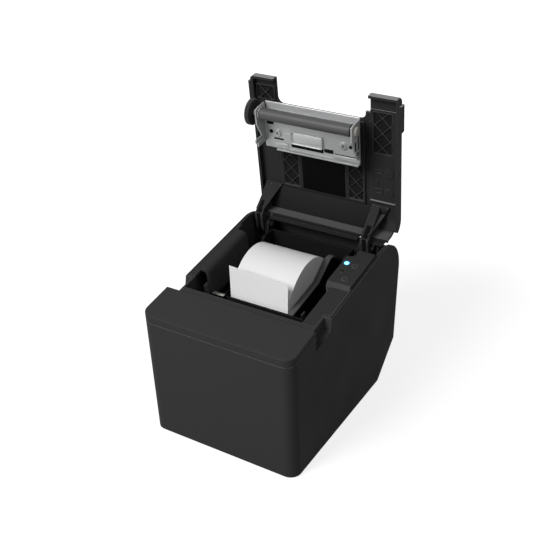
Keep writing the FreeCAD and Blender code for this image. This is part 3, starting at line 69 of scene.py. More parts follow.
def deselectAll():
    if bpy.context.object and bpy.context.object.mode != "OBJECT":
        bpy.ops.object.mode_set(mode="OBJECT")
    bpy.ops.object.select_all(action="DESELECT")


def pickOnly(*objects):
    deselectAll()
    for thing in objects:
        thing.select_set(True)
    bpy.context.view_layer.objects.active = objects[0]


def setDown(thing):
    # place, turn and size go into the mesh
    pickOnly(thing)
    bpy.ops.object.transform_apply(location=True, rotation=True, scale=True)


def putModifier(thing, kind, **settings):
    pickOnly(thing)
    modifier = thing.modifiers.new(kind.lower(), kind)
    for name, value in settings.items():
        setattr(modifier, name, value)
    bpy.ops.object.modifier_apply(modifier=modifier.name)


def softenEdges(thing, width, segments=2):
    # bevelled edges, with the width in millimetres
    putModifier(
        thing, "BEVEL", width=width * mm, segments=segments, limit_method="ANGLE", angle_limit=edgeAngles["bevel"],
    )
    pickOnly(thing)
    bpy.ops.object.shade_smooth_by_angle(angle=edgeAngles["smooth"])


def editAll(thing, action, **settings):
    # one edit-mode action on the whole mesh
    pickOnly(thing)
    bpy.ops.object.mode_set(mode="EDIT")
    bpy.ops.mesh.select_all(action="SELECT")
    action(**settings)
    bpy.ops.object.mode_set(mode="OBJECT")


def editChosen(thing, kind, chosen, *actions):
    # edit-mode actions on the polygons or edges that a test picks out
    pickOnly(thing)
    bpy.ops.object.mode_set(mode="EDIT")
    bpy.ops.mesh.select_all(action="DESELECT")
    bpy.ops.object.mode_set(mode="OBJECT")
    for element in getattr(thing.data, kind):
        element.select = chosen(element)
    bpy.ops.object.mode_set(mode="EDIT")
    for action, settings in actions:
        action(**settings)
    bpy.ops.object.mode_set(mode="OBJECT")


def addBar(low, high):
    # a bar between two corners, in millimetres
    low, high = Vector(low) * mm, Vector(high) * mm
    deselectAll()
    bpy.ops.mesh.primitive_cube_add(size=1.0, location=(low + high) / 2)
    bar = bpy.context.object
    bar.scale = high - low
    setDown(bar)
    return bar


def softBar(low, high, width, segments=2):
    bar = addBar(low, high)
    softenEdges(bar, width, segments)
    return bar


def lidBar(left, right, near, far, low, high):
    # a bar in the lid's own place: across, away from the hinge, and from the paper well into the lid
    return addBar((left, -far, low), (right, -near, high))


def softLidBar(area, low, high, width, segments=2):
    bar = lidBar(*area, low, high)
    softenEdges(bar, width, segments)
    return bar


def addDisc(centre, radius, height, axis="Z", vertices=40):
    deselectAll()
    bpy.ops.mesh.primitive_cylinder_add(
        vertices=vertices, radius=radius * mm, depth=height * mm, location=Vector(centre) * mm,
    )
    disc = bpy.context.object
    if axis == "X":
        disc.rotation_euler = (0, math.pi / 2, 0)
    if axis == "Y":
        disc.rotation_euler = (math.pi / 2, 0, 0)
    setDown(disc)
    return disc


def softDisc(centre, radius, height, width, segments=2, axis="Z", vertices=40):
    disc = addDisc(centre, radius, height, axis, vertices)
    softenEdges(disc, width, segments)
    return disc


def dishedDisc(centre, radius, height, rim, depth, soften=0.14):
    # a disc with a raised rim on its low side
    disc = addDisc(centre, radius, height, vertices=48)
    editChosen(
        disc, "polygons", lambda face: face.normal.z < -0.9,
        (bpy.ops.mesh.inset, {"thickness": rim * mm, "depth": 0.0}),
        (bpy.ops.mesh.inset, {"thickness": rim * 0.5 * mm, "depth": -depth * mm}),
    )
    softenEdges(disc, soften)
    return disc


def addSheetPlate(corners, thickness):
    # a flat sheet through four corners
    deselectAll()
    bpy.ops.mesh.primitive_plane_add(size=1.0)
    plate = bpy.context.object
    for vertex, corner in zip(plate.data.vertices, (corners[0], corners[1], corners[3], corners[2])):
        vertex.co = Vector(corner) * mm
    putModifier(plate, "SOLIDIFY", thickness=thickness * mm, offset=0.0)
    editAll(plate, bpy.ops.mesh.normals_make_consistent, inside=False)
    return plate


def copiesOf(thing, shifts):
    # the piece itself and a copy with its own mesh at each shift, in millimetres
    copies = [thing]
    for shift in shifts:
        pickOnly(thing)
        bpy.ops.object.duplicate(linked=False)
        copy = bpy.context.object
        copy.location = Vector(shift) * mm
        setDown(copy)
        copies.append(copy)
    return copies


def joinUp(name, pieces):
    pickOnly(*pieces)
    if len(pieces) > 1:
        bpy.ops.object.join()
    whole = bpy.context.object
    whole.name = name
    whole.data.name = name
    return whole


def standIn(thing, place):
    thing.matrix_world = place @ thing.matrix_world
    setDown(thing)


def takeAway(thing, cutter):
    putModifier(thing, "BOOLEAN", operation="DIFFERENCE", object=cutter, solver="EXACT")
    bpy.data.objects.remove(cutter, do_unlink=True)


def coat(thing, material):
    thing.data.materials.clear()
    thing.data.materials.append(material)


def finishPiece(thing, body, material, replaced=()):
    coat(thing, material)
    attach(thing, body)
    for node in replaced:
        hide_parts(node)
    return thing


def finishOnLid(name, parts, material, soften=None, segments=2):
    # parts modelled in the lid's own place, joined and stood up with the lid
    whole = joinUp(name, parts)
    if soften:
        softenEdges(whole, soften, segments)
    standIn(whole, lidPlace)
    return finishPiece(whole, "lid", material)


# Nodes with their settings, socket values and incoming links
def addNode(tree, kind, values=(), links=(), **settings):
    node = tree.nodes.new(kind)
    for name, value in settings.items():
        setattr(node, name, value)
    for socket, value in dict(values).items():
        node.inputs[socket].default_value = value
    for socket, source in dict(links).items():
        tree.links.new(source, node.inputs[socket])
    return node


def objectCoords(tree):
    return addNode(tree, "ShaderNodeTexCoord").outputs


def mapRange(tree, value, fromRange, toRange=(0.0, 1.0), **settings):
    values = {"From Min": fromRange[0], "From Max": fromRange[1], "To Min": toRange[0], "To Max": toRange[1]}
    return addNode(tree, "ShaderNodeMapRange", values, {"Value": value}, **settings).outputs["Result"]


def mixColours(tree, factor, first, second):
    # each colour is a constant or another node's socket
    mix = addNode(tree, "ShaderNodeMix", links={"Factor": factor}, data_type="RGBA")
    for label, colour in (("A", first), ("B", second)):
        if isinstance(colour, bpy.types.NodeSocket):
            tree.links.new(colour, mix.inputs[label])
        else:
            mix.inputs[label].default_value = (*colour, 1)
    return mix.outputs["Result"]


def combine(tree, operation, first, second):
    return addNode(tree, "ShaderNodeMath", links={0: first, 1: second}, operation=operation).outputs["Value"]


def scaleColour(tree, colour, factor):
    node = addNode(tree, "ShaderNodeVectorMath", links={0: colour, "Scale": factor}, operation="SCALE")
    return node.outputs["Vector"]


def colourRamp(tree, factor, first, second):
    ramp = addNode(tree, "ShaderNodeValToRGB", links={"Fac": factor})
    for element, colour in zip(ramp.color_ramp.elements, (first, second)):
        element.color = (*colour, 1)
    return ramp.outputs["Color"]


def times(colour, factor):
    return [part * factor for part in colour]


# Shared surface effects, as node groups
def newGroup(name, inputs, outputs):
    group = bpy.data.node_groups.new(name, "ShaderNodeTree")
    for label, kind, value in inputs:
        socket = group.interface.new_socket(label, in_out="INPUT", socket_type=kind)
        socket.default_value = value
    for label, kind in outputs:
        group.interface.new_socket(label, in_out="OUTPUT", socket_type=kind)
    return group, group.nodes.new("NodeGroupInput").outputs, group.nodes.new("NodeGroupOutput").inputs


def makeMouldGrain():
    # spark-eroded grain of moulded plastic, with slow patches where it was handled
    group, entry, leave = newGroup(
        "mouldGrain",
        [("Colour", "NodeSocketColor", (0.03, 0.03, 0.03, 1)), ("Grain Scale", "NodeSocketFloat", 2600.0),
         ("Roughness", "NodeSocketFloat", 0.5), ("Patch", "NodeSocketFloat", 0.1)],
        [("Colour", "NodeSocketColor"), ("Roughness", "NodeSocketFloat"), ("Height", "NodeSocketFloat")],
    )
    place = objectCoords(group)["Object"]
    grain = addNode(
        group, "ShaderNodeTexNoise", {"Detail": 3.0}, {"Vector": place, "Scale": entry["Grain Scale"]},
    ).outputs["Fac"]
    patch = addNode(group, "ShaderNodeTexNoise", {"Scale": 26.0, "Detail": 5.0}, {"Vector": place}).outputs["Fac"]
    spread = mapRange(group, patch, (0.3, 0.7), (-0.5, 0.5))
    rough = combine(group, "ADD", entry["Roughness"], combine(group, "MULTIPLY", spread, entry["Patch"]))
    speck = mapRange(group, grain, (0.35, 0.65), (0.86, 1.14))
    group.links.new(scaleColour(group, entry["Colour"], speck), leave["Colour"])
    group.links.new(rough, leave["Roughness"])
    group.links.new(grain, leave["Height"])
    return group


def makeSoftEdgeHighlight():
    # moulded and bent edges are never quite sharp, so their normals are rounded; their colour is painted paler than the
    # faces, a painted highlight
    group, entry, leave = newGroup(
        "edgeWear",
        [("Colour", "NodeSocketColor", (0.03, 0.03, 0.03, 1)),
         ("Edge Colour", "NodeSocketColor", (0.08, 0.08, 0.08, 1)), ("Radius", "NodeSocketFloat", 0.0007)],
        [("Colour", "NodeSocketColor"), ("Normal", "NodeSocketVector")],
    )
    bevel = addNode(group, "ShaderNodeBevel", links={"Radius": entry["Radius"]}, samples=6).outputs["Normal"]
    flat = addNode(group, "ShaderNodeNewGeometry").outputs["Normal"]
    along = addNode(
        group, "ShaderNodeVectorMath", links={0: bevel, 1: flat}, operation="DOT_PRODUCT",
    ).outputs["Value"]
    mask = mapRange(group, along, (0.97, 0.80))
    group.links.new(mixColours(group, mask, entry["Colour"], entry["Edge Colour"]), leave["Colour"])
    group.links.new(bevel, leave["Normal"])
    return group


def makeBrushLines():
    # fine lines left by rolling or turning, along X
    group, entry, leave = newGroup(
        "brushLines",
        [("Colour", "NodeSocketColor", (0.6, 0.6, 0.6, 1)), ("Roughness", "NodeSocketFloat", 0.35),
         ("Line Scale", "NodeSocketFloat", 900.0)],
        [("Colour", "NodeSocketColor"), ("Roughness", "NodeSocketFloat"), ("Height", "NodeSocketFloat")],
    )
    stretch = addNode(
        group, "ShaderNodeMapping", {"Scale": (0.04, 1.0, 1.0)}, {"Vector": objectCoords(group)["Object"]},
    ).outputs["Vector"]
    lines = addNode(
        group, "ShaderNodeTexNoise", {"Detail": 4.0}, {"Vector": stretch, "Scale": entry["Line Scale"]},
    ).outputs["Fac"]
    shade = mapRange(group, lines, (0.3, 0.7), (0.94, 1.03))
    polish = addNode(
        group, "ShaderNodeMath", {1: 0.22}, {0: lines, 2: entry["Roughness"]}, operation="MULTIPLY_ADD",
    ).outputs["Value"]
    group.links.new(scaleColour(group, entry["Colour"], shade), leave["Colour"])
    group.links.new(polish, leave["Roughness"])
    group.links.new(lines, leave["Height"])
    return group


mouldGrain = makeMouldGrain()
brushLines = makeBrushLines()
edgeWear = makeSoftEdgeHighlight()


def newMaterial(name):
    material = bpy.data.materials.new(name)
    material.use_nodes = True
    tree = material.node_tree
    return material, tree, tree.nodes["Principled BSDF"]


def addBump(tree, shader, height, strength, distance):
    bump = addNode(tree, "ShaderNodeBump", {"Strength": strength, "Distance": distance}, {"Height": height})
    tree.links.new(bump.outputs["Normal"], shader.inputs["Normal"])
    return bump


def paintEdgeHighlight(tree, shader, colourOut, edgeColour, radius, bump):
    # the shared edge group, with its painted edge highlight, between a base colour and the shader
    values = {"Edge Colour": (*edgeColour, 1), "Radius": radius}
    wear = addNode(tree, "ShaderNodeGroup", values, {"Colour": colourOut}, node_tree=edgeWear).outputs
    tree.links.new(wear["Colour"], shader.inputs["Base Color"])
    tree.links.new(wear["Normal"], bump.inputs["Normal"])


# Bump depths and edge radii in metres
plasticSkin = {"bumpDepth": 0.00012, "edgeRadius": 0.0008}
metalSkin = {
    "metallic": 0.7, "bump": 0.05, "bumpDepth": 0.00004, "edgeRadius": 0.0004, "edgeGain": 1.5, "edgeLimit": 0.9,
}
paperSkin = {
    "fibreScale": 1500.0, "fibreDetail": 6.0, "darkest": 0.95, "roughness": 0.62, "specular": 0.3,
    "bump": 0.12, "bumpDepth": 0.00008,
    "ringScale": 330.0, "ringWaver": 0.6, "ringDetail": 2.0, "ringHighlightGain": (1.18, 1.32),
}
lensSkin = {"frostScale": 700.0, "darkest": 0.8, "roughness": 0.2}


def mouldedPlastic(name, colour, roughness, grainScale=2600.0, patch=0.1, bump=0.12, specular=0.1, edge=1.0):
    material, tree, shader = newMaterial(name)
    values = {"Colour": (*colour, 1), "Roughness": roughness, "Grain Scale": grainScale, "Patch": patch}
    grain = addNode(tree, "ShaderNodeGroup", values, node_tree=mouldGrain).outputs
    shader.inputs["Specular IOR Level"].default_value = specular
    tree.links.new(grain["Roughness"], shader.inputs["Roughness"])
    grainBump = addBump(tree, shader, grain["Height"], bump, plasticSkin["bumpDepth"])
    # the edge factor sets how much paler the edges are painted, a painted highlight
    paintEdgeHighlight(tree, shader, grain["Colour"], times(colour, edge), plasticSkin["edgeRadius"], grainBump)
    return material


def addLipSheen(material, facing, colour, tipColour, tipHeight, start=0.9, blend=0.002):
    # painted sheen: faces that look along one direction are painted lighter, most of all at the tips
    tree = material.node_tree
    shader = tree.nodes["Principled BSDF"]
    under = shader.inputs["Base Color"].links[0].from_socket
    # the piece's own normal, so that the painted sheen stays on the same faces when it moves
    coords = objectCoords(tree)
    along = addNode(
        tree, "ShaderNodeVectorMath", {1: facing}, {0: coords["Normal"]}, operation="DOT_PRODUCT",
    ).outputs["Value"]
    apart = addNode(tree, "ShaderNodeSeparateXYZ", links={"Vector": coords["Object"]}).outputs
    height = mapRange(tree, apart["Z"], (tipHeight - blend, tipHeight + blend))
    pale = mixColours(tree, height, colour, tipColour)
    sheenedColour = mixColours(tree, mapRange(tree, along, (start, 1.0)), under, pale)
    tree.links.new(sheenedColour, shader.inputs["Base Color"])


def addLampSpill(material, centre, colour, reach, strength, near=0.0015):
    # painted glow: the panel round the lamp emits, standing in for the lamp's light spreading in its skin
    tree = material.node_tree
    shader = tree.nodes["Principled BSDF"]
    away = addNode(
        tree, "ShaderNodeVectorMath", {1: centre}, {0: objectCoords(tree)["Object"]}, operation="DISTANCE",
    ).outputs["Value"]
    fall = mapRange(tree, away, (near, reach), (1.0, 0.0), interpolation_type="SMOOTHERSTEP")
    tree.links.new(mixColours(tree, fall, (0, 0, 0), colour), shader.inputs["Emission Color"])
    shader.inputs["Emission Strength"].default_value = strength


def brushedMetal(name, colour, roughness, lineScale=900.0):
    material, tree, shader = newMaterial(name)
    values = {"Colour": (*colour, 1), "Roughness": roughness, "Line Scale": lineScale}
    lines = addNode(tree, "ShaderNodeGroup", values, node_tree=brushLines).outputs
    shader.inputs["Metallic"].default_value = metalSkin["metallic"]
    tree.links.new(lines["Roughness"], shader.inputs["Roughness"])
    lineBump = addBump(tree, shader, lines["Height"], metalSkin["bump"], metalSkin["bumpDepth"])
    # metal edges painted paler than the faces, a painted highlight
    edgeColour = [min(part, metalSkin["edgeLimit"]) for part in times(colour, metalSkin["edgeGain"])]
    paintEdgeHighlight(tree, shader, lines["Colour"], edgeColour, metalSkin["edgeRadius"], lineBump)
    return material


def paperStock(name, colour, rings=False):
    # paper fibres; on the roll's ends the wound layers show as rings, painted lighter than the paper as a painted
    # highlight
    material, tree, shader = newMaterial(name)
    coords = objectCoords(tree)
    grain = {"Scale": paperSkin["fibreScale"], "Detail": paperSkin["fibreDetail"]}
    fibre = addNode(tree, "ShaderNodeTexNoise", grain, {"Vector": coords["Object"]}).outputs["Fac"]
    shown = colourRamp(tree, fibre, times(colour, paperSkin["darkest"]), colour)
    shader.inputs["Roughness"].default_value = paperSkin["roughness"]
    shader.inputs["Specular IOR Level"].default_value = paperSkin["specular"]
    if rings:
        centre = addNode(
            tree, "ShaderNodeMapping", {"Location": (0, -rollAt.y, -rollAt.z)}, {"Vector": coords["Object"]},
        ).outputs["Vector"]
        winding = {
            "Scale": paperSkin["ringScale"], "Distortion": paperSkin["ringWaver"], "Detail": paperSkin["ringDetail"],
        }
        wound = addNode(
            tree, "ShaderNodeTexWave", winding, {"Vector": centre}, wave_type="RINGS", rings_direction="X",
        ).outputs["Fac"]
        apart = addNode(tree, "ShaderNodeSeparateXYZ", links={"Vector": coords["Normal"]}).outputs
        facing = addNode(tree, "ShaderNodeMath", links={0: apart["X"]}, operation="ABSOLUTE").outputs["Value"]
        layers = colourRamp(tree, wound, *(times(colour, gain) for gain in paperSkin["ringHighlightGain"]))
        shown = mixColours(tree, facing, shown, layers)
    tree.links.new(shown, shader.inputs["Base Color"])
    addBump(tree, shader, fibre, paperSkin["bump"], paperSkin["bumpDepth"])
    return material


def litLens(name, colour, strength):
    material, tree, shader = newMaterial(name)
    frost = addNode(
        tree, "ShaderNodeTexNoise", {"Scale": lensSkin["frostScale"]}, {"Vector": objectCoords(tree)["Object"]},
    ).outputs["Fac"]
    shown = colourRamp(tree, frost, times(colour, lensSkin["darkest"]), colour)
    tree.links.new(shown, shader.inputs["Emission Color"])
    tree.links.new(shown, shader.inputs["Base Color"])
    shader.inputs["Emission Strength"].default_value = strength
    shader.inputs["Roughness"].default_value = lensSkin["roughness"]
    return material


casePlastic = mouldedPlastic("charcoalCase", (0.0375, 0.0375, 0.038), 0.62, specular=0.012, edge=3.6)
coverPlastic = mouldedPlastic("charcoalInner", (0.031, 0.031, 0.0315), 0.6, specular=0.02, edge=2.4)
lidPlastic = mouldedPlastic("blackLid", (0.026, 0.026, 0.0265), 0.6, specular=0.03, edge=2.6)
innerPlastic = mouldedPlastic("blackInner", (0.016, 0.016, 0.0165), 0.55, grainScale=2000.0, specular=0.03, edge=2.2)
# the paper well and the roll divider are painted darker than the other inner black, a painted shade
shadedWellPlastic = mouldedPlastic("blackWell", (0.0085, 0.0085, 0.009), 0.55, grainScale=2000.0, specular=0.03, edge=2.2)
# the divider's rim, painted lighter than its sides, a painted highlight
dividerHighlightPlastic = mouldedPlastic("greyDivider", (0.075, 0.075, 0.076), 0.55, specular=0.1)
panelPlastic = mouldedPlastic("satinPanel", (0.027, 0.027, 0.028), 0.5, bump=0.06, specular=0.1, edge=3.0)
buttonPlastic = mouldedPlastic("buttonCap", (0.030, 0.030, 0.032), 0.42, bump=0.05, specular=0.15, edge=3.4)
gearPlastic = mouldedPlastic("gearBlack", (0.026, 0.026, 0.027), 0.45, grainScale=1500.0, edge=3.0)
bushPlastic = mouldedPlastic("bushGrey", (0.38, 0.37, 0.34), 0.45)
plateFilm = mouldedPlastic("bareGuidePlate", (0.0025, 0.0025, 0.003), 0.5, bump=0.02, specular=0.04)
# ribs painted lighter and pocket floors darker than the lid: a painted highlight and a painted shade
ribPlastic = mouldedPlastic("ribPlastic", (0.036, 0.036, 0.0365), 0.55, specular=0.03, edge=1.8)
pocketShade = mouldedPlastic("pocketShade", (0.012, 0.012, 0.0122), 0.7, specular=0.03)
slotShade = mouldedPlastic("slotShade", (0.005, 0.005, 0.005), 0.8, specular=0.03)
# lighter copy of the dark plastic, painted highlights on button rims and arm shoulders
rimHighlightPlastic = mouldedPlastic("rubbedRim", (0.042, 0.042, 0.043), 0.4, bump=0.04, edge=3.0)
# pale plastic for painted highlights on the key ridge and the webs' pips
highlightPlastic = mouldedPlastic("rubbedLip", (0.17, 0.17, 0.172), 0.45, bump=0.06)
rollerRubber = mouldedPlastic("groundRubber", (0.060, 0.060, 0.062), 0.5, grainScale=4200.0, bump=0.2, specular=0.3)
footRubber = mouldedPlastic("footRubber", (0.02, 0.02, 0.02), 0.8, grainScale=1400.0, bump=0.3, specular=0.1)
bracketSteel = brushedMetal("bracketSteel", (0.345, 0.35, 0.35), 0.42)
bladeSteel = brushedMetal("bladeSteel", (0.70, 0.705, 0.71), 0.34)
darkSteel = brushedMetal("blackenedSteel", (0.030, 0.030, 0.032), 0.5)
padSteel = brushedMetal("padSteel", (0.43, 0.435, 0.435), 0.42)
shaftSteel = brushedMetal("turnedSteel", (0.48, 0.47, 0.44), 0.25, lineScale=1600.0)
screwSteel = brushedMetal("screwSteel", (0.34, 0.345, 0.35), 0.3, lineScale=1800.0)
sinkMetal = brushedMetal("sinkAluminium", (0.50, 0.50, 0.51), 0.4)
headGlaze = mouldedPlastic("headGlaze", (0.42, 0.42, 0.38), 0.2, bump=0.02, specular=0.4)
boardResist = mouldedPlastic("boardResist", (0.015, 0.09, 0.04), 0.3, grainScale=900.0, specular=0.4)
sheetPaper = paperStock("sheetPaper", (0.92, 0.92, 0.925))
# the roll is painted darker than the sheet, a painted shade against the stronger light on its top
rollPaper = paperStock("rollPaper", (0.72, 0.72, 0.725), rings=True)
cardTube = paperStock("cardTube", (0.36, 0.29, 0.21))
lampBlue = litLens("litLamp", (0.16, 0.62, 1.0), 3.2)
lampDark = mouldedPlastic("darkLamp", (0.020, 0.020, 0.008), 0.12, bump=0.01, specular=0.4)

# Painted glow round the lamp, and faces of the lid and the panel painted lighter as a painted sheen
lampLow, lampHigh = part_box("power_lamp")
lampTop = ((lampLow.x + lampHigh.x) / 2, (lampLow.y + lampHigh.y) / 2, lampHigh.z)
lampSpill = {"colour": (0.05, 0.35, 1.0), "reach": 0.0042, "strength": 0.3}
lidSheen = {
    "facing": (0.0, -0.1513, 0.9885), "colour": (0.085, 0.085, 0.086),
    "tipColour": (0.24, 0.24, 0.243), "tipHeight": 0.2525,
}
panelSheen = {
    "facing": (0.0, -0.9848, -0.1736), "colour": (0.075, 0.075, 0.076),
    "tipColour": (0.075, 0.075, 0.076), "tipHeight": 0.2525,
}
addLampSpill(panelPlastic, lampTop, **lampSpill)
addLipSheen(lidPlastic, **lidSheen)
addLipSheen(panelPlastic, **panelSheen)

nodeFinish = {
    "main_case": casePlastic, "front_top_cover": casePlastic, "bottom_cover": casePlastic,
    "lid_shell": lidPlastic, "lid_frame": lidPlastic, "key_plate": lidPlastic,
    "hinge_arm_left": lidPlastic, "hinge_arm_right": lidPlastic,
    "left_inner_cover": coverPlastic, "right_inner_cover": coverPlastic, "rear_deck": innerPlastic,
    "paper_well": shadedWellPlastic, "roll_divider": shadedWellPlastic, "control_panel": panelPlastic,
    "connector_panel": innerPlastic, "cutter_housing": innerPlastic, "paper_sensor": innerPlastic,
    "lid_switch": innerPlastic, "power_button": buttonPlastic, "feed_button": buttonPlastic,
    "platen_gear": gearPlastic, "idler_gear": gearPlastic, "feed_pinion": gearPlastic,
    "platen_bushes": bushPlastic, "guide_plate": plateFilm, "platen_roller": rollerRubber,
    "rubber_feet": footRubber, "platen_bracket": bracketSteel, "cutter_counter_blade": bladeSteel,
    "mechanism_frame": darkSteel, "moving_blade": bracketSteel, "head_spring": bracketSteel,
    "platen_shaft": shaftSteel, "hinge_pins": shaftSteel, "idler_stud": shaftSteel, "cutter_pinion": shaftSteel,
    "spring_wire": shaftSteel, "bracket_screws": screwSteel, "case_screws": screwSteel,
    "cutter_motor": sinkMetal, "feed_motor": sinkMetal, "head_heat_sink": sinkMetal, "print_head": headGlaze,
    "main_board": boardResist, "panel_board": boardResist, "paper_roll": rollPaper, "roll_core": cardTube,
    "paper_sheet": sheetPaper, "power_lamp": lampBlue, "error_lamp": lampDark,
    "power_inlet": gearPlastic, "data_port": gearPlastic, "drawer_port": gearPlastic,
}
for nodeName, node in frame["nodes"].items():
    for materialSlot in node.material_slots:
        materialSlot.material = nodeFinish[nodeName]
print("finishes on", len(nodeFinish), "nodes")

# Rib lattices inside the lid, painted lighter than the lid as a painted highlight, each on a dark floor of painted
# shade; an area is left, right, near and far
ribField = {
    "pitch": 9.8, "rib": 1.5, "level": 18.2, "soften": 0.15, "turn": 45, "spareCells": 4, "fewestCells": 4,
    "floorLow": 18.86, "floorHigh": 19.14, "floorSoften": 0.06,
}
ribAreas = {
    "leftLattice": (-44.6, -28.9, 36.0, 71.0),
    "rightLattice": (21.4, 35.1, 36.0, 71.0),
    "rightEarLattice": (45.2, 62.6, 87.0, 124.8),
    "leftEarLattice": (-66.4, -48.6, 118.5, 131.5),
}


def ribLattice(name, area):
    left, right, near, far = area
    pitch = ribField["pitch"]
    span = math.hypot(right - left, far - near) + ribField["spareCells"] * pitch
    cells = max(ribField["fewestCells"], round(span / pitch))
    deselectAll()
    bpy.ops.mesh.primitive_grid_add(
        x_subdivisions=cells, y_subdivisions=cells, size=cells * pitch * mm,
        location=((left + right) / 2 * mm, -(near + far) / 2 * mm, ribField["level"] * mm),
        rotation=(0, 0, math.radians(ribField["turn"])),
    )
    lattice = bpy.context.object
    setDown(lattice)
    for point, normal in (
            ((left, 0, 0), (-1, 0, 0)), ((right, 0, 0), (1, 0, 0)),
            ((0, -near, 0), (0, 1, 0)), ((0, -far, 0), (0, -1, 0))):
        editAll(lattice, bpy.ops.mesh.bisect, plane_co=Vector(point) * mm, plane_no=normal, clear_outer=True)
    putModifier(
        lattice, "WIREFRAME", thickness=ribField["rib"] * mm,
        use_boundary=True, use_replace=True, use_even_offset=False,
    )
    joinUp(name, [lattice])
    standIn(lattice, lidPlace)
    softenEdges(lattice, ribField["soften"], segments=1)
    finishPiece(lattice, "lid", ribPlastic)


for latticeName, latticeArea in ribAreas.items():
    ribLattice(latticeName, latticeArea)
    latticeFloor = softLidBar(
        latticeArea, ribField["floorLow"], ribField["floorHigh"], ribField["floorSoften"], segments=1,
    )
    finishOnLid(latticeName + "Floor", [latticeFloor], pocketShade)
print("rib lattices on the lid")

# Panel that leans from the lid's lower ledge up to its plates
lowerPanel = {
    "left": -55.9, "right": 43.3, "ledge": (12.8, 9.2), "top": (33.4, 16.2), "thickness": 1.0, "soften": 0.25,
}


def makeLowerPanel():
    (nearS, nearN), (farS, farN) = lowerPanel["ledge"], lowerPanel["top"]
    left, right = lowerPanel["left"], lowerPanel["right"]
    panel = addSheetPlate(
        [(left, -nearS, nearN), (right, -nearS, nearN), (right, -farS, farN), (left, -farS, farN)],
        lowerPanel["thickness"],
    )
    finishOnLid("lidLowerPanel", [panel], innerPlastic, lowerPanel["soften"])


makeLowerPanel()

# Webs that spread each hinge arm out to the lid, with the arm's slot a dark bar of painted shade and its shoulders
# painted light as a painted highlight; the right web bends at a knee to clear the control panel when the lid is shut
armWeb = {
    "thickness": 1.1, "flatThickness": 0.3, "soften": 0.3, "foot": (17.0, -5.6), "head": (35.2, 17.2),
    "leftFoot": (-64.3, -56.1), "leftHead": (-63.0, -46.8), "rightFoot": (43.5, 51.7), "rightHead": (46.6, 60.4),
    "rightKnee": (26.2, 17.15, 45.1, 56.4),
    "slotInset": 2.4, "slotLean": 0.5, "slotReach": (1.0, 14.4), "slotDepth": (-9.02, -8.7),
    "slotFoot": (15.6, -8.3), "slotHead": (23.1, 1.0), "slotThickness": 0.2, "slotSoften": 0.06,
    "shoulderInset": 0.3, "shoulderWidth": 1.8, "shoulderReach": (8.0, 14.0), "shoulderDepth": (-9.06, -8.4),
    "pipRadius": 0.55, "pipHeight": 0.6, "pipSoften": 0.2,
    "pips": ((-58.4, 33.6, 14.8), (-48.6, 33.6, 14.8), (48.6, 33.4, 17.0), (58.6, 33.4, 17.0)),
}


def makeArmWeb(side):
    (footS, footN), (headS, headN) = armWeb["foot"], armWeb["head"]
    (footLeft, footRight), (headLeft, headRight) = armWeb[side + "Foot"], armWeb[side + "Head"]
    stations = [(footS, footN, footLeft, footRight), (headS, headN, headLeft, headRight)]
    if side == "right":
        stations[1:] = [armWeb["rightKnee"], (headS, armWeb["rightKnee"][1], headLeft, headRight)]
    plates = []
    for (nearS, nearN, nearLeft, nearRight), (farS, farN, farLeft, farRight) in zip(stations, stations[1:]):
        plates.append(addSheetPlate(
            [(nearLeft, -nearS, nearN), (nearRight, -nearS, nearN), (farRight, -farS, farN), (farLeft, -farS, farN)],
            armWeb["thickness"] if nearS == footS else armWeb["flatThickness"],
        ))
    finishOnLid(side + "ArmWeb", plates, lidPlastic, armWeb["soften"])


def makeArmSlot(side):
    footLeft, footRight = armWeb[side + "Foot"]
    inset, lean = armWeb["slotInset"], armWeb["slotLean"]
    left, right = footLeft + inset, footRight - inset
    (footS, footN), (headS, headN) = armWeb["slotFoot"], armWeb["slotHead"]
    # the slot between the arm's plates is painted shade, a dark bar and sheet
    slot = lidBar(left, right, *armWeb["slotReach"], *armWeb["slotDepth"])
    leaning = addSheetPlate(
        [(left, -footS, footN), (right, -footS, footN), (right + lean, -headS, headN), (left + lean, -headS, headN)],
        armWeb["slotThickness"],
    )
    finishOnLid(side + "ArmSlot", [slot, leaning], slotShade, armWeb["slotSoften"], segments=1)


def makeArmShoulders(side):
    footLeft, footRight = armWeb[side + "Foot"]
    inset, width = armWeb["shoulderInset"], armWeb["shoulderWidth"]
    shoulders = []
    for left in (footLeft + inset, footRight - inset - width):
        area = (left, left + width, *armWeb["shoulderReach"])
        shoulders.append(softLidBar(area, *armWeb["shoulderDepth"], armWeb["soften"], segments=3))
    finishOnLid(side + "ArmShoulders", shoulders, rimHighlightPlastic)


for armSide in ("left", "right"):
    makeArmWeb(armSide)
    makeArmSlot(armSide)
    makeArmShoulders(armSide)
# small pips painted light, painted highlights at the webs' corners
webPips = [
    softDisc((across, -outward, inward), armWeb["pipRadius"], armWeb["pipHeight"], armWeb["pipSoften"], vertices=16)
    for across, outward, inward in armWeb["pips"]
]
finishOnLid("armWebPips", webPips, highlightPlastic)
print("lower panel and arm webs")

# Key pads, pockets and ridge on the key plate; levels count from the hinge line into the lid
keyField = {
    "top": 18.1, "pads": ((59.2, 68.6), (59.2, 49.4)), "padRadius": 4.6, "padLow": 17.35,
    "padRim": 0.5, "padDish": 0.18,
    "pockets": ((46.0, 53.8, 66.6, 71.0), (46.0, 53.4, 46.9, 52.0)), "pocketLow": 17.5, "pocketWall": 0.8,
    "roomLow": 17.2, "roomHigh": 17.85, "pocketSoften": 0.12,
    "stem": (48.3, 49.5, 54.4, 61.8), "stemLow": 17.4, "stemSoften": 0.15,
    "ridge": (42.0, 66.0, 38.4, 39.8), "ridgeLow": 16.95, "ridgeSoften": 0.3,
}


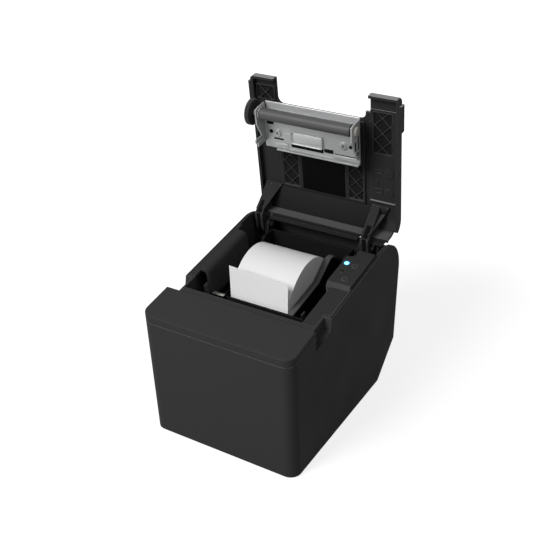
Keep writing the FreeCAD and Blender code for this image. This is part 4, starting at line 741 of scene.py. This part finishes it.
def makeKeyField():
    low, high, wall = keyField["padLow"], keyField["top"], keyField["pocketWall"]
    (firstX, firstS), *others = keyField["pads"]
    middle = (firstX, -firstS, (low + high) / 2)
    pad = dishedDisc(middle, keyField["padRadius"], high - low, keyField["padRim"], keyField["padDish"])
    parts = copiesOf(pad, [(across - firstX, firstS - outward, 0) for across, outward in others])
    for left, right, near, far in keyField["pockets"]:
        pocket = lidBar(left, right, near, far, keyField["pocketLow"], high)
        takeAway(pocket, lidBar(
            left + wall, right - wall, near + wall, far - wall, keyField["roomLow"], keyField["roomHigh"],
        ))
        softenEdges(pocket, keyField["pocketSoften"])
        parts.append(pocket)
    parts.append(softLidBar(keyField["stem"], keyField["stemLow"], high, keyField["stemSoften"]))
    finishOnLid("keyField", parts, lidPlastic)
    # the ridge is painted pale, a painted highlight along its top
    ridge = softLidBar(keyField["ridge"], keyField["ridgeLow"], high, keyField["ridgeSoften"])
    finishOnLid("keyRidge", [ridge], highlightPlastic)


makeKeyField()
print("key field on the lid")

# Holes, slots, screw recesses and the raised pad of the platen bracket
bracketTrim = {
    "face": 4.5, "proud": 0.10, "sunk": 0.05, "slotSoften": 0.04,
    "slots": (
        (-27.0, 4.5, 83.8, 87.6), (5.2, 14.0, 85.2, 88.8), (-44.0, -34.0, 88.6, 90.2), (-50.4, -43.6, 102.4, 105.6),
        (33.4, 36.6, 99.0, 109.6), (15.0, 36.0, 85.4, 86.2),
    ),
    "holes": ((-46.6, 95.6, 1.9), (30.6, 95.0, 1.7)), "holeSoften": 0.03,
    "rings": ((-40.0, 95.0), (24.0, 95.0)), "ringRadius": 4.1, "ringHeight": 0.3, "ringSoften": 0.12,
    "cross": (-1.7, 1.7, -0.32, 0.32), "crossDepth": (3.24, 3.36), "crossTurn": 0.4,
    "studs": ((34.9, 106.4, 1.2), (34.9, 101.4, 1.1), (-49.4, 108.8, 1.5)), "studHeight": 1.0, "studSoften": 0.3,
    "tabs": ((14.6, 38.6, 81.4, 85.2), (-43.6, -30.0, 82.0, 85.6)), "tabHeight": 0.45, "tabSoften": 0.2,
    "pad": (-26.0, 4.4, 88.2, 99.2), "padLevel": 3.5, "padCorner": 2.2, "padSoften": 0.15,
    "window": (-33.4, -27.4, 96.9, 101.6), "windowProud": 0.06, "windowSunk": 0.02, "windowSoften": 0.02,
    "cheek": 39.0, "cheekProud": 0.12, "cheekHole": (92.6, 0.8, 1.5),
    "cheekSlots": ((97.0, 105.5, -4.6, -2.4), (96.0, 111.5, 1.4, 2.9)),
}


def makeBracketOpenings():
    face, proud, soft = bracketTrim["face"], bracketTrim["proud"], bracketTrim["slotSoften"]
    sunk = face + bracketTrim["sunk"]
    # painted shade: thin dark plates stand for the holes, slots and screw recesses, and for the shadow under the roller
    dark = [softLidBar(area, face - proud, sunk, soft, segments=1) for area in bracketTrim["slots"]]
    for across, outward, radius in bracketTrim["holes"]:
        middle = (across, -outward, face - proud / 2)
        dark.append(softDisc(middle, radius, proud, bracketTrim["holeSoften"], segments=1, vertices=28))
    for across, outward in bracketTrim["rings"]:
        for turn in (0.0, math.pi / 2):
            bar = lidBar(*bracketTrim["cross"], *bracketTrim["crossDepth"])
            turned = Matrix.Rotation(turn + bracketTrim["crossTurn"], 4, "Z")
            bar.matrix_world = Matrix.Translation(Vector((across, -outward, 0)) * mm) @ turned
            softenEdges(bar, soft, segments=1)
            setDown(bar)
            dark.append(bar)
    finishOnLid("bracketOpenings", dark, slotShade)


def makeBracketFittings():
    face, ringHigh, studHigh = bracketTrim["face"], bracketTrim["ringHeight"], bracketTrim["studHeight"]
    bright = []
    for across, outward in bracketTrim["rings"]:
        middle = (across, -outward, face - ringHigh / 2)
        bright.append(softDisc(middle, bracketTrim["ringRadius"], ringHigh, bracketTrim["ringSoften"]))
    for across, outward, radius in bracketTrim["studs"]:
        middle = (across, -outward, face - studHigh / 2)
        bright.append(softDisc(middle, radius, studHigh, bracketTrim["studSoften"], vertices=28))
    for area in bracketTrim["tabs"]:
        bright.append(softLidBar(area, face - bracketTrim["tabHeight"], face, bracketTrim["tabSoften"]))
    finishOnLid("bracketFittings", bright, screwSteel)


def makeBracketPad():
    face, level = bracketTrim["face"], bracketTrim["padLevel"]
    pad = lidBar(*bracketTrim["pad"], level, face)

    def upright(edge):
        first, second = (pad.data.vertices[index].co for index in edge.vertices)
        return abs(first.z - second.z) > 0.5 * abs(level - face) * mm

    rounded = {"offset": bracketTrim["padCorner"] * mm, "segments": 6, "affect": "EDGES"}
    editChosen(pad, "edges", upright, (bpy.ops.mesh.bevel, rounded))
    softenEdges(pad, bracketTrim["padSoften"])
    finishOnLid("bracketPad", [pad], padSteel)
    window = softLidBar(
        bracketTrim["window"], face - bracketTrim["windowProud"], face + bracketTrim["windowSunk"],
        bracketTrim["windowSoften"], segments=1,
    )
    finishOnLid("bracketWindow", [window], screwSteel)


def makeCheekOpenings():
    # hole and slots on the right cheek's outer face, thin dark plates of painted shade
    side, proud, soft = bracketTrim["cheek"], bracketTrim["cheekProud"], bracketTrim["slotSoften"]
    outward, inward, radius = bracketTrim["cheekHole"]
    middle = (side + proud / 2, -outward, inward)
    dark = [softDisc(middle, radius, proud, soft, segments=1, axis="X", vertices=24)]
    for near, far, low, high in bracketTrim["cheekSlots"]:
        dark.append(softBar((side, -far, low), (side + proud, -near, high), soft, segments=1))
    finishOnLid("cheekOpenings", dark, slotShade)


makeBracketOpenings()
makeBracketFittings()
makeBracketPad()
makeCheekOpenings()
print("bracket trim")

# Rounded bead along the hinge line, clear of the lid's lower lip; a foot on the rear deck carries its right run
hingeBead = {
    "outer": 10.2, "inner": 8.6, "from": 40.0, "to": 128.0, "steps": 22, "runs": ((-51.4, 38.8), (52.3, 63.4)),
    "soften": 0.3, "foot": ((56.0, 77.4, 112.9), (59.0, 81.6, 139.2)), "footSoften": 0.4,
}


def makeHingeBead():
    pieces = []
    radius = hingeBead["outer"] * mm
    for left, right in hingeBead["runs"]:
        deselectAll()
        bpy.ops.mesh.primitive_grid_add(x_subdivisions=1, y_subdivisions=hingeBead["steps"], size=1.0)
        strip = bpy.context.object
        for vertex in strip.data.vertices:
            angle = math.radians(hingeBead["from"] + (hingeBead["to"] - hingeBead["from"]) * (vertex.co.y + 0.5))
            across = left if vertex.co.x < 0 else right
            vertex.co = Vector((
                across * mm, hingeAt.y + radius * math.cos(angle), hingeAt.z + radius * math.sin(angle),
            ))
        editAll(strip, bpy.ops.mesh.normals_make_consistent, inside=False)
        outward = strip.data.polygons[0].normal.dot(strip.data.polygons[0].center - hingeAt)
        putModifier(
            strip, "SOLIDIFY", thickness=(hingeBead["outer"] - hingeBead["inner"]) * mm,
            offset=-1.0 if outward > 0 else 1.0,
        )
        softenEdges(strip, hingeBead["soften"])
        pieces.append(strip)
    pieces.append(softBar(*hingeBead["foot"], hingeBead["footSoften"]))
    finishPiece(joinUp("hingeBead", pieces), "base", innerPlastic)


makeHingeBead()
print("hinge bead")

# Dished caps on the two buttons, moving with them, painted lighter than the buttons as a painted highlight
buttonCap = {"radius": 2.75, "height": 0.5, "rim": 0.45, "dish": 0.16, "proud": 0.1}


def makeButtonCaps():
    up = Matrix.Rotation(slopeTurn, 4, "X") @ Vector((0, 0, 1))
    for button in ("power_button", "feed_button"):
        low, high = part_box(button)
        middle = (low + high) / 2
        top = max((vertex.co - middle).dot(up) for vertex in frame["nodes"][button].data.vertices)
        cap = dishedDisc((0, 0, 0), buttonCap["radius"], buttonCap["height"], buttonCap["rim"], buttonCap["dish"])
        cap = joinUp(button.replace("_button", "ButtonCap"), [cap])
        raised = top + (buttonCap["proud"] - buttonCap["height"] / 2) * mm
        standIn(cap, Matrix.Translation(middle + up * raised) @ Matrix.Rotation(slopeTurn + math.pi, 4, "X"))
        finishPiece(cap, button, rimHighlightPlastic)


makeButtonCaps()
print("button caps")

# Dark seam on the side walls' top edges and the shade in the finger scoops
sideSeam = {
    "near": 15.0, "far": 113.4, "inner": 68.5, "outer": 69.15, "low": 13.95, "high": 14.2, "soften": 0.05,
    "scoopIn": 63.7, "scoopOut": 69.6, "scoopFoot": (-37.0, 113.5), "scoopHead": (-34.5, 122.6),
    "scoopThickness": 0.3, "scoopSoften": 0.08,
}


def makeSideSeams():
    for side, name in ((1, "right"), (-1, "left")):
        near, far = sorted((side * sideSeam["inner"], side * sideSeam["outer"]))
        seam = softBar(
            (near, -sideSeam["far"], sideSeam["low"]), (far, -sideSeam["near"], sideSeam["high"]),
            sideSeam["soften"], segments=1,
        )
        standIn(seam, slopePlace)
        near, far = sorted((side * sideSeam["scoopIn"], side * sideSeam["scoopOut"]))
        foot, head = sideSeam["scoopFoot"], sideSeam["scoopHead"]
        shade = addSheetPlate(
            [(near, *foot), (far, *foot), (far, *head), (near, *head)], sideSeam["scoopThickness"],
        )
        softenEdges(shade, sideSeam["scoopSoften"], segments=1)
        finishPiece(joinUp(name + "Seam", [seam, shade]), "base", slotShade)


makeSideSeams()

# Bright tab beside the paper's way in
guideTab = {"low": (-55.7, -17.0, 100.6), "high": (-44.6, -13.8, 102.4), "soften": 0.5}
tabPiece = joinUp("guideTab", [softBar(guideTab["low"], guideTab["high"], guideTab["soften"], segments=3)])
finishPiece(tabPiece, "base", shaftSteel)
print("side seams and guide tab")

# Broad rim on top of the roll divider, painted much lighter than the divider's sides as a painted highlight
dividerRim = {
    "left": 16.0, "right": 21.6, "thickness": 1.4, "soften": 0.35,
    "line": ((-11.6, 98.5), (35.8, 107.2), (57.0, 121.3), (63.0, 121.4), (68.0, 119.4)),
}


def makeDividerRim():
    line = dividerRim["line"]
    deselectAll()
    bpy.ops.mesh.primitive_grid_add(x_subdivisions=1, y_subdivisions=len(line) - 1, size=1.0)
    rim = bpy.context.object
    for vertex in rim.data.vertices:
        station = round((vertex.co.y + 0.5) * (len(line) - 1))
        across = dividerRim["left"] if vertex.co.x < 0 else dividerRim["right"]
        vertex.co = Vector((across, *line[station])) * mm
    putModifier(rim, "SOLIDIFY", thickness=dividerRim["thickness"] * mm, offset=0.0)
    softenEdges(rim, dividerRim["soften"])
    finishPiece(joinUp("dividerRim", [rim]), "base", dividerHighlightPlastic)


makeDividerRim()
print("divider rim")

# Contacts in the sockets at the back; each place is across, up, and from the socket's bottom outwards
backContacts = {
    "inlet": (-26.5, 51.7, 90.4, 95.8), "pins": 3, "firstPin": 90, "pinCircle": 2.5, "pinRadius": 0.6, "pinSoften": 0.2,
    "data": (0.25, 49.95, 86.4, 96.2), "tongue": (5.8, 2.8), "tongueSoften": 0.25,
    "drawer": (27.0, 50.7, 86.4, 96.6), "wires": 6, "wirePitch": 1.27, "wire": (0.5, 0.4),
    "firstWire": (-3.8, 1.6), "wireSoften": 0.08,
}


def makeBackContacts():
    across, up, inner, outer = backContacts["inlet"]
    arm = Vector((backContacts["pinCircle"], 0, 0))
    step = 360 / backContacts["pins"]
    angles = [math.radians(backContacts["firstPin"] + step * index) for index in range(backContacts["pins"])]
    spots = [Matrix.Rotation(angle, 3, "Y") @ arm for angle in angles]
    pinAt = Vector((across, (inner + outer) / 2, up)) + spots[0]
    pin = softDisc(pinAt, backContacts["pinRadius"], outer - inner, backContacts["pinSoften"], axis="Y", vertices=20)
    parts = copiesOf(pin, [spot - spots[0] for spot in spots[1:]])
    across, up, inner, outer = backContacts["drawer"]
    (aside, rise), (wide, high) = backContacts["firstWire"], backContacts["wire"]
    left, low = across + aside, up + rise
    wire = softBar((left, inner, low), (left + wide, outer, low + high), backContacts["wireSoften"], segments=1)
    parts += copiesOf(wire, [(index * backContacts["wirePitch"], 0, 0) for index in range(1, backContacts["wires"])])
    finishPiece(joinUp("socketContacts", parts), "base", shaftSteel)
    across, up, inner, outer = backContacts["data"]
    wide, high = backContacts["tongue"]
    tongue = softBar(
        (across - wide / 2, inner, up - high / 2), (across + wide / 2, outer, up + high / 2),
        backContacts["tongueSoften"],
    )
    finishPiece(joinUp("dataTongue", [tongue]), "base", bushPlastic)


makeBackContacts()
print("socket contacts")

# Leading sheet, a gentle curl over its height
leadSheet = {
    "left": -42.7, "right": 14.8, "low": 87.8, "high": 129.2, "thickness": 0.12, "clear": 0.15,
    "curl": 1.6, "curlShare": (0.6, 0.4), "skew": 4.0, "cells": (28, 36), "smooth": 40,
}


def makeLeadSheet():
    width = leadSheet["right"] - leadSheet["left"]
    height = leadSheet["high"] - leadSheet["low"]
    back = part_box("paper_sheet")[1].y
    columns, rows = leadSheet["cells"]
    whole, leaning = leadSheet["curlShare"]
    deselectAll()
    bpy.ops.mesh.primitive_grid_add(x_subdivisions=columns, y_subdivisions=rows, size=1.0)
    sheet = bpy.context.object
    sheet.scale = (width * mm, height * mm, 1)
    sheet.rotation_euler = (math.pi / 2, 0, 0)
    sheet.location = (
        (leadSheet["left"] + leadSheet["right"]) / 2 * mm, back - leadSheet["clear"] * mm,
        (leadSheet["low"] + leadSheet["high"]) / 2 * mm,
    )
    setDown(sheet)
    for vertex in sheet.data.vertices:
        up = (vertex.co.z / mm - leadSheet["low"]) / height
        across = (vertex.co.x / mm - leadSheet["left"]) / width
        vertex.co.y -= leadSheet["curl"] * mm * up ** 2 * (whole + leaning * math.cos(across * math.pi))
        vertex.co.z -= leadSheet["skew"] * mm * across * up ** 3
    putModifier(sheet, "SOLIDIFY", thickness=leadSheet["thickness"] * mm, offset=0.0)
    sheet = joinUp("leadSheet", [sheet])
    bpy.ops.object.shade_smooth_by_angle(angle=math.radians(leadSheet["smooth"]))
    finishPiece(sheet, "base", sheetPaper, ["paper_sheet"])
    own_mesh(sheet)


makeLeadSheet()
print("leading sheet")

# Floor, light and camera
photoView = {
    "azimuth": 30.27, "elevation": 29.17, "distance": 0.70551, "lens": 58.33,
    "target": (0.02073, -0.0395, 0.15207), "sensor": 36.0, "clip": (0.01, 20.0),
}
paleFloor = {
    "size": 6.0, "below": 0.0002, "base": 0.4, "roughness": 0.9, "near": 0.78, "far": 1.0, "from": 0.22, "to": 0.62,
}
studioWorld = {"onObject": 0.205, "seen": 1.0}
studioLights = {
    "keySoftbox": {"at": (-0.5, -1.2, 1.14), "size": 0.8, "power": 27.0},
    "topSoftbox": {"at": (0.0, 0.25, 1.35), "size": 0.9, "power": 0.6},
    "rightFill": {"at": (0.85, -0.3, 1.15), "size": 0.5, "power": 1.7},
}
lightsAim = Vector((0, 0, 0.12))


def seenDirectly(tree):
    # one for camera, mirror and see-through rays, nought for the light on the object
    rays = addNode(tree, "ShaderNodeLightPath").outputs
    seen = rays["Is Camera Ray"]
    for kind in ("Is Glossy Ray", "Is Transmission Ray"):
        seen = combine(tree, "MAXIMUM", seen, rays[kind])
    return seen


def makeFloor():
    deselectAll()
    bpy.ops.mesh.primitive_plane_add(size=paleFloor["size"], location=(0, 0, -paleFloor["below"]))
    floor = bpy.context.object
    floor.name = "floor"
    material, tree, shader = newMaterial("paleFloor")
    shader.inputs["Base Color"].default_value = (*[paleFloor["base"]] * 3, 1)
    shader.inputs["Roughness"].default_value = paleFloor["roughness"]
    shader.inputs["Specular IOR Level"].default_value = 0.0
    # grey enough near the object to keep its shadow, white farther off
    away = addNode(
        tree, "ShaderNodeVectorMath", links={0: objectCoords(tree)["Object"]}, operation="LENGTH",
    ).outputs["Value"]
    level = mapRange(
        tree, away, (paleFloor["from"], paleFloor["to"]), (paleFloor["near"], paleFloor["far"]),
        interpolation_type="SMOOTHSTEP",
    )
    tree.links.new(level, shader.inputs["Emission Color"])
    tree.links.new(seenDirectly(tree), shader.inputs["Emission Strength"])
    coat(floor, material)


def makeWorld():
    world = bpy.data.worlds.new("studio")
    bpy.context.scene.world = world
    world.use_nodes = True
    tree = world.node_tree
    background = tree.nodes["Background"]
    background.inputs["Color"].default_value = (1, 1, 1, 1)
    level = mapRange(tree, seenDirectly(tree), (0.0, 1.0), (studioWorld["onObject"], studioWorld["seen"]))
    tree.links.new(level, background.inputs["Strength"])


def makeLights():
    for name, settings in studioLights.items():
        lamp = bpy.data.lights.new(name, "AREA")
        lamp.energy = settings["power"]
        lamp.size = settings["size"]
        holder = bpy.data.objects.new(name, lamp)
        holder.location = settings["at"]
        holder.rotation_euler = (lightsAim - holder.location).to_track_quat("-Z", "Y").to_euler()
        bpy.context.collection.objects.link(holder)


def makeCamera():
    turn, rise = math.radians(photoView["azimuth"]), math.radians(photoView["elevation"])
    back = Vector((math.sin(turn) * math.cos(rise), -math.cos(turn) * math.cos(rise), math.sin(rise)))
    data = bpy.data.cameras.new("photoCamera")
    data.sensor_width = photoView["sensor"]
    data.lens = photoView["lens"]
    data.clip_start, data.clip_end = photoView["clip"]
    camera = bpy.data.objects.new("photoCamera", data)
    camera.location = Vector(photoView["target"]) + back * photoView["distance"]
    camera.rotation_euler = (-back).to_track_quat("-Z", "Y").to_euler()
    bpy.context.collection.objects.link(camera)
    bpy.context.scene.camera = camera


makeFloor()
makeWorld()
makeLights()
makeCamera()
bpy.context.scene.view_settings.view_transform = "Standard"
deselectAll()
print("floor, light and camera")
